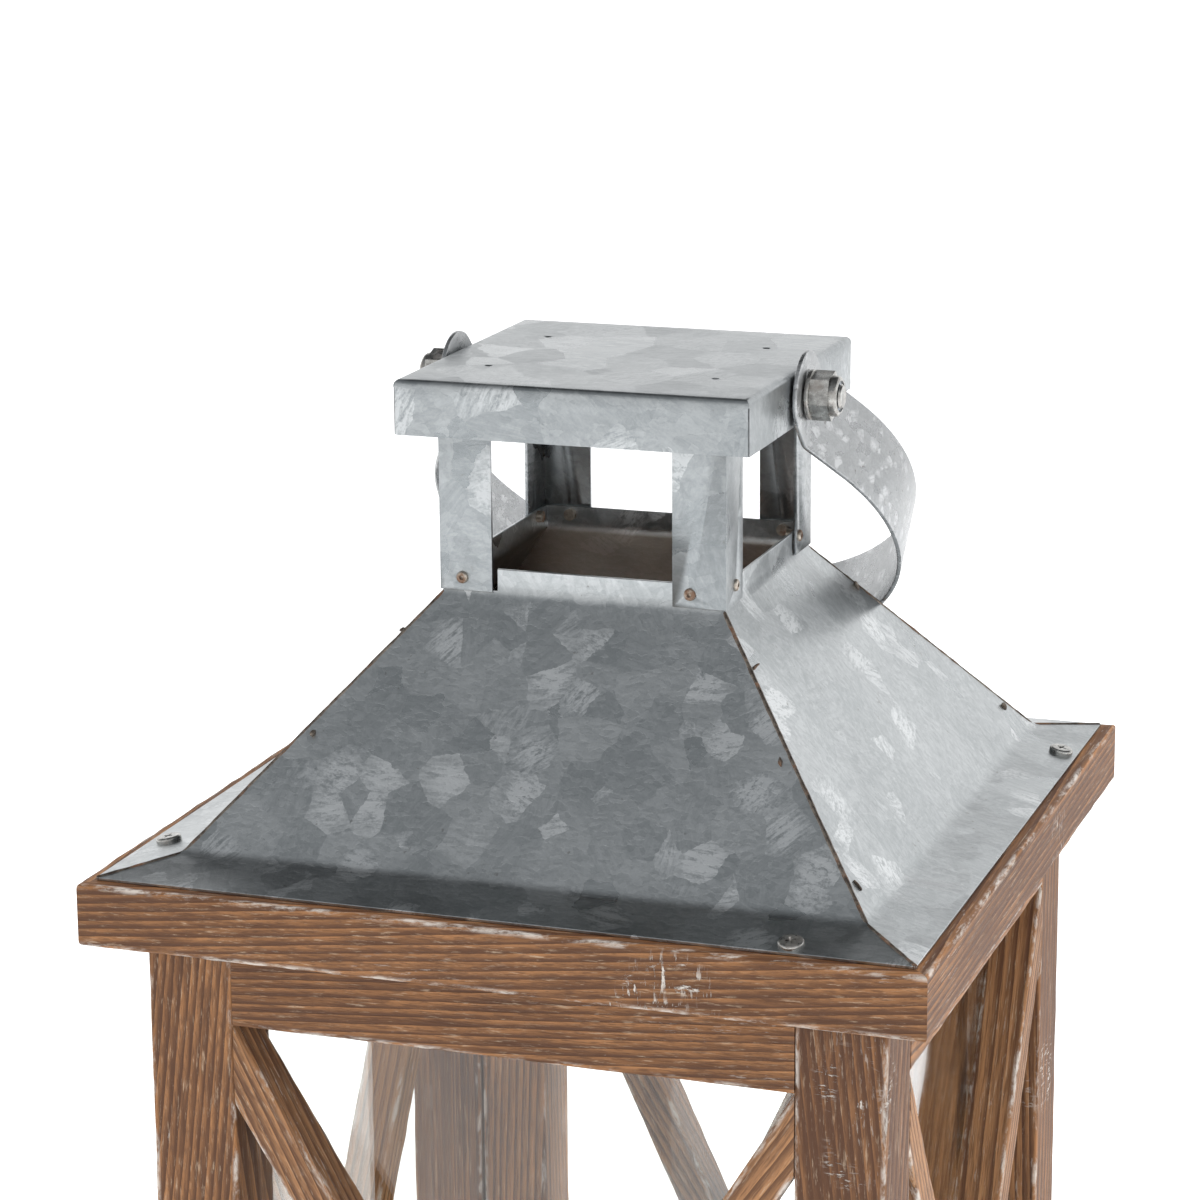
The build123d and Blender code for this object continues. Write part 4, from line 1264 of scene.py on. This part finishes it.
@dataclass
class Cupola:
    """Angle posts, rivets and the folded cap."""

    sheet: float = 0.8 * MM
    fold: float = 1.5 * MM
    weld: tuple[float, float] = (28.0 * MM, 20.5 * MM)
    dimple: float = 1.5 * MM
    slit: tuple[float, float] = (4.0 * MM, 0.2 * MM)
    pivot_hole: float = 3.1 * MM
    rivet_face: float = 0.65 * MM
    rivet_radius: float = 1.45 * MM
    rivet_rise: float = 0.75 * MM
    mandrel: float = 0.55 * MM
    dent_fade: float = 20.0 * MM

    def build(self) -> None:
        """Make posts, rivets and cap."""
        for corner in CORNERS:
            soften(f"cupola_post_{corner}", Body.LANTERN, "galvanised_sheet", CAP_ZINC, 0.15 * MM)
        self.rivets()
        self.cap()

    def rivets(self) -> None:
        """Pop rivets: a domed flange with the mandrel's hole in the middle."""
        pieces = []
        mesh = frame["nodes"]["rivets"].data
        for side in Side:
            face = max(v.co.dot(side.outward) for v in mesh.vertices)
            mine = [v.co for v in mesh.vertices if v.co.dot(side.outward) > face - self.rivet_face]
            for hand in (-1, 1):
                group = [p for p in mine if p.dot(side.along) * hand > 0]
                middle = sum(group, Vector()) / len(group)
                pieces.append(self.rivet(middle - side.outward * 0.3 * MM, side.outward))
        rivets = Bench.join("finished_rivets", pieces)
        finish_piece(rivets, Body.LANTERN, "rivet_steel", RIVET_STEEL, "rivets")

    def rivet(self, foot: Vector, axis: Vector) -> bpy.types.Object:
        """One rivet standing on a face."""
        piece = Bench.upright("rivet", -3.0 * MM, self.rivet_rise, self.rivet_radius, 28)
        Bench.round_off(piece, lambda a, b: min(a.z, b.z) > self.rivet_rise - 0.05 * MM, 0.6 * MM, 5)
        Bench.cut(piece, [Bench.upright("mandrel", 0.1 * MM, 2 * MM, self.mandrel, 16)])
        piece.data.transform(Matrix.Translation(foot) @ Bench.aim(axis))
        Bench.smooth(piece, 40.0)
        return piece

    def cap(self) -> None:
        """Fold a lid: a block opened below, rounded over its top edges, slit at its corners."""
        low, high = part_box("cap")
        lid = Bench.block("finished_cap", low, high)
        Bench.edit(lid, "FACE", lambda co: co.z < low.z + 0.1 * MM)
        bpy.ops.mesh.delete(type="FACE")
        Bench.done()
        Bench.round_off(lid, lambda a, b: min(a.z, b.z) > high.z - 0.1 * MM, self.fold, 4)
        for axis in (Vector((1, 0, 0)), Vector((0, 1, 0))):
            for share in range(-9, 10):
                Bench.slice(lid, axis * share * (high.x / 10), axis)
        for rise in (3.0 * MM, 6.0 * MM, 9.0 * MM):
            Bench.slice(lid, Vector((0, 0, low.z + rise)), UP)
        group = lid.vertex_groups.new(name="field")
        for vertex in lid.data.vertices:
            flat = vertex.co.z > high.z - TOUCH
            gap = high.x - max(abs(vertex.co.x), abs(vertex.co.y))
            on_skirt = vertex.co.z < high.z - self.fold * 1.2
            weight = min(1.0, gap / self.dent_fade) if flat else 0.25 * on_skirt
            group.add([vertex.index], weight, "REPLACE")
        Bench.fit(lid, "DISPLACE", texture=clouds("cap dents", 30 * MM), texture_coords="LOCAL",
                  mid_level=0.55, strength=0.8 * MM, vertex_group="field")
        Bench.fit(lid, "SOLIDIFY", thickness=self.sheet, offset=-1.0)
        cutters = []
        for x_sign in (-1, 1):
            for y_sign in (-1, 1):
                corner = Vector((high.x * x_sign, high.y * y_sign, (low.z + high.z) / 2 - self.fold))
                slit_reach, slit_half = self.slit
                slit = Bench.block("slit", Vector((-slit_reach, -slit_half, low.z - high.z)),
                                   Vector((slit_reach, slit_half, (high.z - low.z) / 2 - 0.4 * MM)))
                turn = Matrix.Rotation(math.atan2(y_sign, x_sign), 4, "Z")
                slit.data.transform(Matrix.Translation(corner) @ turn)
                cutters.append(slit)
                bpy.ops.object.select_all(action="DESELECT")
                bpy.ops.mesh.primitive_uv_sphere_add(segments=20, ring_count=12, radius=self.dimple)
                dimple = bpy.context.object
                dimple.location = (self.weld[0] * x_sign, self.weld[1] * y_sign,
                                   high.z + self.dimple * 0.7)
                cutters.append(Bench.name(dimple, "dimple"))
        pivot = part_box("pivot_bolts")
        level = (pivot[0].z + pivot[1].z) / 2
        across = Vector((60 * MM, 0, 0))
        cutters.append(Bench.rod("pivot hole", UP * level - across, UP * level + across,
                                 self.pivot_hole, 28))
        Bench.cut(lid, cutters)
        Bench.tidy(lid)
        Bench.smooth(lid, 40.0)
        finish_piece(lid, Body.LANTERN, "galvanised_sheet", CAP_ZINC, "cap")


def soften(node: str, body: Body, slot: str, finish: Finish, width: float,
           angle: float = 35.0) -> None:
    """Copy a CAD node, merge it, and break its sharp edges; the copy stands for the node.

    Args:
        node: the CAD node.
        body: the rigid body that the piece rides on.
        slot: the record's material slot, passed on to finish_piece, which does not use it.
        finish: what it is covered with.
        width: width of the broken edges, in metres.
        angle: edges sharper than this are broken, in degrees.
    """
    piece = Bench.twin(frame["nodes"][node], Matrix.Identity(4))
    piece.parent = None
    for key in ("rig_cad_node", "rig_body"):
        if key in piece:
            del piece[key]
    Bench.name(piece, "finished_" + node)
    Bench.edit(piece, "VERT")
    bpy.ops.mesh.remove_doubles(threshold=CAD_MERGE_GAP)
    bpy.ops.mesh.dissolve_limited(angle_limit=math.radians(0.6))
    Bench.done()
    Bench.fit(piece, "BEVEL", width=width, segments=2, limit_method="ANGLE",
              angle_limit=math.radians(angle))
    Bench.smooth(piece, 40.0)
    finish_piece(piece, body, slot, finish, node)


@dataclass
class BailAndPivots:
    """The strap bail with its bolts, washers and lock nuts."""

    flats: float = 5.2 * MM
    thread: float = 3.0 * MM
    pitch: float = 1.0 * MM
    root: float = 0.86
    hexagon: float = 4.6 * MM
    collar: float = 4.85 * MM
    well: float = 3.7 * MM
    head: tuple[float, float] = (5.2 * MM, 3.2 * MM)
    socket: float = 2.3 * MM

    def build(self) -> None:
        """Make the strap and the hardware on its pivots."""
        soften("bail", Body.BAIL, "galvanised_strap", STRAP_ZINC, 0.3 * MM)
        soften("pivot_washers", Body.LANTERN, "zinc_hardware", ZINC_PLATE, 0.2 * MM)
        low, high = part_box("lock_nuts")
        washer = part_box("pivot_washers")[1].x
        level = (low.z + high.z) / 2
        nuts = []
        for hand in (-1, 1):
            nut = self.nut(high.x - washer)
            side = Vector((hand, 0, 0))
            twist = Matrix.Rotation(math.radians(12 + 30 * (hand > 0)), 4, "Z")
            nut.data.transform(Matrix.Translation(side * washer + UP * level) @ Bench.aim(side) @ twist)
            nuts.append(nut)
        both = Bench.join("finished_lock_nuts", nuts)
        finish_piece(both, Body.LANTERN, "zinc_hardware", None, "lock_nuts")
        self.bolts(level)

    def nut(self, length: float) -> bpy.types.Object:
        """One nylon-insert nut, standing on the ground with its collar up."""
        corner = self.flats / math.cos(math.radians(30))
        body = Bench.upright("nut", 0.0, self.hexagon, corner, 6)
        past = 0.3 * MM
        trim = Bench.upright("chamfer", -past, self.hexagon + past, corner * 1.04, 64)
        for level in (-past, self.hexagon + past):
            Bench.round_off(trim, lambda a, b, z=level: abs(a.z - z) + abs(b.z - z) < TOUCH, 0.9 * MM, 2)
        Bench.cut(body, [trim], "INTERSECT")
        collar = Bench.upright("collar", self.hexagon - 0.2 * MM, length, self.collar, 48)
        Bench.round_off(collar, lambda a, b: min(a.z, b.z) > length - TOUCH, 1.0 * MM, 5)
        middle = self.hexagon * 0.5
        Bench.cut(collar, [Bench.upright("well", middle, length + 1 * MM, self.well, 40)])
        ring = Bench.upright("nylon", middle, length - 0.7 * MM, self.well, 40)
        Bench.cut(ring, [Bench.upright("bore", -1 * MM, length + 1 * MM, self.thread * 0.99, 40)])
        for part, finish in ((body, ZINC_PLATE), (collar, ZINC_PLATE), (ring, NYLON)):
            cover(part, finish)
        nut = Bench.join("nut", [body, collar, ring])
        Bench.smooth(nut, 32.0)
        return nut

    def bolts(self, level: float) -> None:
        """Button-headed bolts with thread crests where they come out of the nuts."""
        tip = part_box("pivot_bolts")[1].x
        cap_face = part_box("cap")[1].x
        head_radius, head_height = self.head
        head_foot = cap_face - 0.8 * MM
        head_top = head_foot - head_height
        pieces = []
        for hand in (-1, 1):
            head = Bench.upright("head", head_top, head_foot, head_radius, 40)
            Bench.round_off(head, lambda a, b: max(a.z, b.z) < head_top + TOUCH, 2.0 * MM, 5)
            Bench.cut(head, [Bench.upright("socket", head_top - 1 * MM, head_top + 2 * MM, self.socket, 6)])
            shank = Bench.upright("shank", head_foot, tip, self.thread * 0.99, 36)
            for turn in range(int((tip - cap_face) / self.pitch)):
                for offset in (0.0, 0.5):
                    Bench.slice(shank, UP * (tip - (turn + offset) * self.pitch - TOUCH), UP)

            def in_root(co: Vector) -> bool:
                """Whether a point lies at a thread root past the washer."""
                turns = (tip - co.z) / self.pitch
                return head_foot + 6 * MM < co.z < tip + TOUCH and abs(turns - round(turns)) < 0.1

            Bench.narrow(shank, "VERT", in_root, self.root, 0.0)
            bolt = Bench.join("bolt", [head, shank])
            bolt.data.transform(Matrix.Translation(UP * level) @ Bench.aim(Vector((hand, 0, 0))))
            Bench.smooth(bolt, 25.0)
            pieces.append(bolt)
        both = Bench.join("finished_pivot_bolts", pieces)
        finish_piece(both, Body.LANTERN, "zinc_hardware", ZINC_PLATE, "pivot_bolts")


# ---------------------------------------------------------------- door
@dataclass
class Door:
    """The glazed back door, its knob, catch and hinges."""

    bevel: float = 1.8 * MM
    head: tuple[float, float] = (2.1 * MM, 1.0 * MM)
    shank: float = 1.1 * MM
    recess: tuple[float, float, float] = (1.2 * MM, 0.24 * MM, 0.7 * MM)
    knob_profile: tuple[tuple[float, float], ...] = (
        (0.0, 0.73), (0.09, 0.73), (0.13, 0.62), (0.17, 0.47), (0.36, 0.46), (0.46, 0.68), (0.56, 0.9),
        (0.66, 0.995), (0.76, 0.97), (0.86, 0.86), (0.94, 0.64), (0.985, 0.34), (1.0, 0.12))

    def build(self) -> None:
        """Make every piece of the door and what it hangs on."""
        low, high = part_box("door_stile_free")
        trim = [(Vector((high.x, high.y, 0)), Vector((high.y - low.y, -self.bevel, 0)).normalized())]
        Board("door_stile_hinge", UP, Side.BACK.outward, Body.DOOR).build()
        Board("door_stile_free", UP, Side.BACK.outward, Body.DOOR, trims=trim).build()
        for level in ("top", "bottom"):
            Board(f"door_rail_{level}", Side.BACK.along, Side.BACK.outward, Body.DOOR).build()
        CrossBraces(Side.BACK, ("door_brace_a", "door_brace_b"), Body.DOOR).build()
        for level in ("lower", "upper"):
            soften(f"hinge_post_leaf_{level}", Body.LANTERN, "hinge_steel", OLD_STEEL, 0.12 * MM)
            soften(f"hinge_door_leaf_{level}", Body.DOOR, "hinge_steel", OLD_STEEL, 0.12 * MM)
            soften(f"hinge_pin_{level}", Body.LANTERN, "hinge_steel", OLD_STEEL, 0.15 * MM)
        soften("magnet_catch", Body.LANTERN, "catch_plastic", CATCH_BROWN, 0.3 * MM)
        soften("catch_screws", Body.LANTERN, "zinc_hardware", ZINC_PLATE, 0.15 * MM)
        soften("strike_plate", Body.DOOR, "zinc_hardware", ZINC_PLATE, 0.15 * MM)
        self.hinge_screws("hinge_post_screws", Body.LANTERN)
        self.hinge_screws("hinge_door_screws", Body.DOOR)
        self.knob()

    def hinge_screws(self, node: str, body: Body) -> None:
        """Countersunk heads with cross recesses, four to a node."""
        low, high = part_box(node)
        mesh = frame["nodes"][node].data
        rises = sorted({round(v.co.z, 4) for v in mesh.vertices if v.co.y > high.y - 0.1 * MM})
        groups: list[list[float]] = []
        for rise in rises:
            if groups and rise - groups[-1][-1] < 6 * MM:
                groups[-1].append(rise)
            else:
                groups.append([rise])
        radius, sunk = self.head
        long, slim, deep = self.recess
        pieces = []
        for place, group in enumerate(groups):
            spot = Vector(((low.x + high.x) / 2, high.y, (group[0] + group[-1]) / 2))
            head = Bench.upright("csk", -sunk, -0.02 * MM, radius, 32)
            Bench.narrow(head, "FACE", lambda co: co.z < 0.05 * MM - sunk, 0.53, -sunk)
            for half_x, half_y in ((long, slim), (slim, long)):
                corner = Vector((half_x, half_y, deep))
                Bench.cut(head, [Bench.block("recess", -corner, corner)])
            shank = Bench.upright("shank", low.y - high.y, -sunk, self.shank, 16)
            screw = Bench.join("screw", [head, shank])
            turn = Bench.aim(Vector((0, 1, 0))) @ Matrix.Rotation(0.4 + place, 4, "Z")
            screw.data.transform(Matrix.Translation(spot) @ turn)
            Bench.smooth(screw, 35.0)
            pieces.append(screw)
        screws = Bench.join("finished_" + node, pieces)
        finish_piece(screws, body, "zinc_hardware", OLD_STEEL, node)

    def knob(self) -> None:
        """Turned knob: a short rod waisted and domed by scaling its rings."""
        low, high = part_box("door_knob")
        length = high.y - low.y
        knob = Bench.upright("finished_door_knob", 0.0, length, (high.x - low.x) / 2, 48)
        for share, _ in self.knob_profile[1:-1]:
            Bench.slice(knob, UP * length * share, UP)
        for share, width in self.knob_profile:
            level = length * share
            Bench.narrow(knob, "VERT", lambda co, z=level: abs(co.z - z) < TOUCH, width, level)
        centre = Vector(((low.x + high.x) / 2, low.y, (low.z + high.z) / 2))
        knob.data.transform(Matrix.Translation(centre) @ Bench.aim(Vector((0, 1, 0))))
        Bench.smooth(knob, 50.0)
        finish_piece(knob, Body.DOOR, "hinge_steel", OLD_STEEL, "door_knob")
        screw_low, screw_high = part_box("knob_screw")
        top = Vector((centre.x, screw_low.y, centre.z))
        kind = PanHead(height=1.8 * MM, length=screw_high.y - screw_low.y)
        screw = kind.build(top, Vector((0, -1, 0)), 15.0)
        Bench.name(screw, "finished_knob_screw")
        finish_piece(screw, Body.DOOR, "zinc_hardware", ZINC_PLATE, "knob_screw")


@dataclass
class Glazing:
    """The four panes, which keep their CAD meshes."""

    panes: tuple[str, ...] = ("glass_front", "glass_left", "glass_right", "door_glass")

    def dress(self) -> None:
        """Give each pane its glass."""
        for pane in self.panes:
            node = frame["nodes"][pane]
            node.data.materials.clear()
            node.data.materials.append(GLASS.material())
            LOG.info("%s: carried over from the frame", pane)


# ---------------------------------------------------------------- studio
@dataclass
class Studio:
    """Camera, floor and soft light.

    The eye is measured from the middle of the roof frame's top; angles are in degrees, the lens
    and the sensor in millimetres.
    """

    eye: Vector = field(default_factory=lambda: Vector((0.27485, -0.80467, 0.26643)))
    yaw: float = 18.60984
    pitch: float = 13.1239
    roll: float = -0.26339
    lens: float = 108.722
    shift: tuple[float, float] = (-0.03785, -0.06029)
    sensor: float = 36.0
    floor_half: float = 14.0
    floor_glow: float = 0.66

    def build(self) -> None:
        """Set up camera, floor, world and lamps."""
        self.camera()
        self.floor()
        self.world()
        top = CAD_BOX[1].z
        self.lamp("overhead", Vector((0.1, 0.0, 2.6)), Vector((0, 0, 0)), 3.2, 52.0)
        self.lamp("right", Vector((1.9, 0.25, 0.9)), Vector((0, 0, top * 0.7)), 1.1, 16.0)
        self.lamp("front", Vector((-0.9, -2.2, 1.3)), Vector((0, 0, top * 0.6)), 1.4, 10.0)

    def camera(self) -> None:
        """Camera level with the roof, looking a little down on it."""
        data = bpy.data.cameras.new("camera")
        camera = bpy.data.objects.new("camera", data)
        bpy.context.scene.collection.objects.link(camera)
        data.sensor_width = self.sensor
        data.lens = self.lens
        data.shift_x, data.shift_y = self.shift
        yaw, pitch, roll = (math.radians(angle) for angle in (self.yaw, self.pitch, self.roll))
        level_back = Vector((math.sin(yaw), -math.cos(yaw), 0.0)) * math.cos(pitch)
        back = level_back + UP * math.sin(pitch)
        right = UP.cross(back).normalized()
        up = back.cross(right)
        level_right = right * math.cos(roll) + up * math.sin(roll)
        level_up = up * math.cos(roll) - right * math.sin(roll)
        turn = Matrix((level_right, level_up, back)).transposed()
        camera.rotation_mode = "QUATERNION"
        camera.rotation_quaternion = turn.to_quaternion()
        camera.location = self.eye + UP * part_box("roof_frame_front")[1].z
        data.clip_start, data.clip_end = 0.05, 100.0
        bpy.context.scene.camera = camera

    def floor(self) -> None:
        """A wide pale floor."""
        bpy.ops.object.select_all(action="DESELECT")
        bpy.ops.mesh.primitive_plane_add(size=2 * self.floor_half, location=(0, 0, 0))
        floor = Bench.name(bpy.context.object, "floor")
        material = bpy.data.materials.new("floor")
        material.use_nodes = True
        surface = material.node_tree.nodes["Principled BSDF"]
        surface.inputs["Base Color"].default_value = (0.9, 0.9, 0.9, 1)
        surface.inputs["Roughness"].default_value = 0.9
        surface.inputs["Specular IOR Level"].default_value = 0.1
        surface.inputs["Emission Color"].default_value = (1, 1, 1, 1)
        surface.inputs["Emission Strength"].default_value = self.floor_glow
        floor.data.materials.append(material)

    def world(self) -> None:
        """White walls all round, brighter at the back, under a ceiling that is darker there."""
        world = bpy.data.worlds.new("studio")
        bpy.context.scene.world = world
        world.use_nodes = True
        web = Web(world.node_tree)
        look = web.add("TexCoord").outputs["Generated"]
        axes = web.add("SeparateXYZ", Vector=look)
        rise, back = axes.outputs["Z"], axes.outputs["Y"]
        ceiling = web.band(back, -0.5, 0.35, 0.42, 0.1)
        light = web.band(rise, 0.42, 0.62, 1.0, 0.0)
        walls = web.band(back, -0.2, 0.5, 1.0, 1.28)
        share = web.sum("ADD", web.sum("MULTIPLY", light, walls),
                        web.sum("MULTIPLY", web.sum("SUBTRACT", 1.0, light), ceiling))
        background = world.node_tree.nodes["Background"]
        tint = web.mix(light, (0.94, 0.97, 1.0, 1.0), (1.0, 1.0, 1.0, 1.0))
        web.feed(background.inputs["Color"], tint)
        web.feed(background.inputs["Strength"], share)
        bpy.context.scene.view_settings.view_transform = "Standard"

    def lamp(self, label: str, place: Vector, aim: Vector, size: float, power: float) -> None:
        """A soft square lamp that doesn't show in the metal."""
        data = bpy.data.lights.new(label, "AREA")
        data.shape = "SQUARE"
        data.size = size
        data.energy = power
        lamp = bpy.data.objects.new(label, data)
        bpy.context.scene.collection.objects.link(lamp)
        lamp.location = place
        lamp.rotation_mode = "QUATERNION"
        lamp.rotation_quaternion = (aim - place).to_track_quat("-Z", "Y")
        lamp.visible_glossy = False


def main() -> None:
    """Build the lantern's pieces in order."""
    logging.basicConfig(level=logging.INFO, format="%(name)s: %(message)s")
    WoodenFrame().build()
    Glazing().dress()
    SheetRoof().build()
    Cupola().build()
    BailAndPivots().build()
    Door().build()
    Studio().build()


if __name__ == "__main__":
    main()
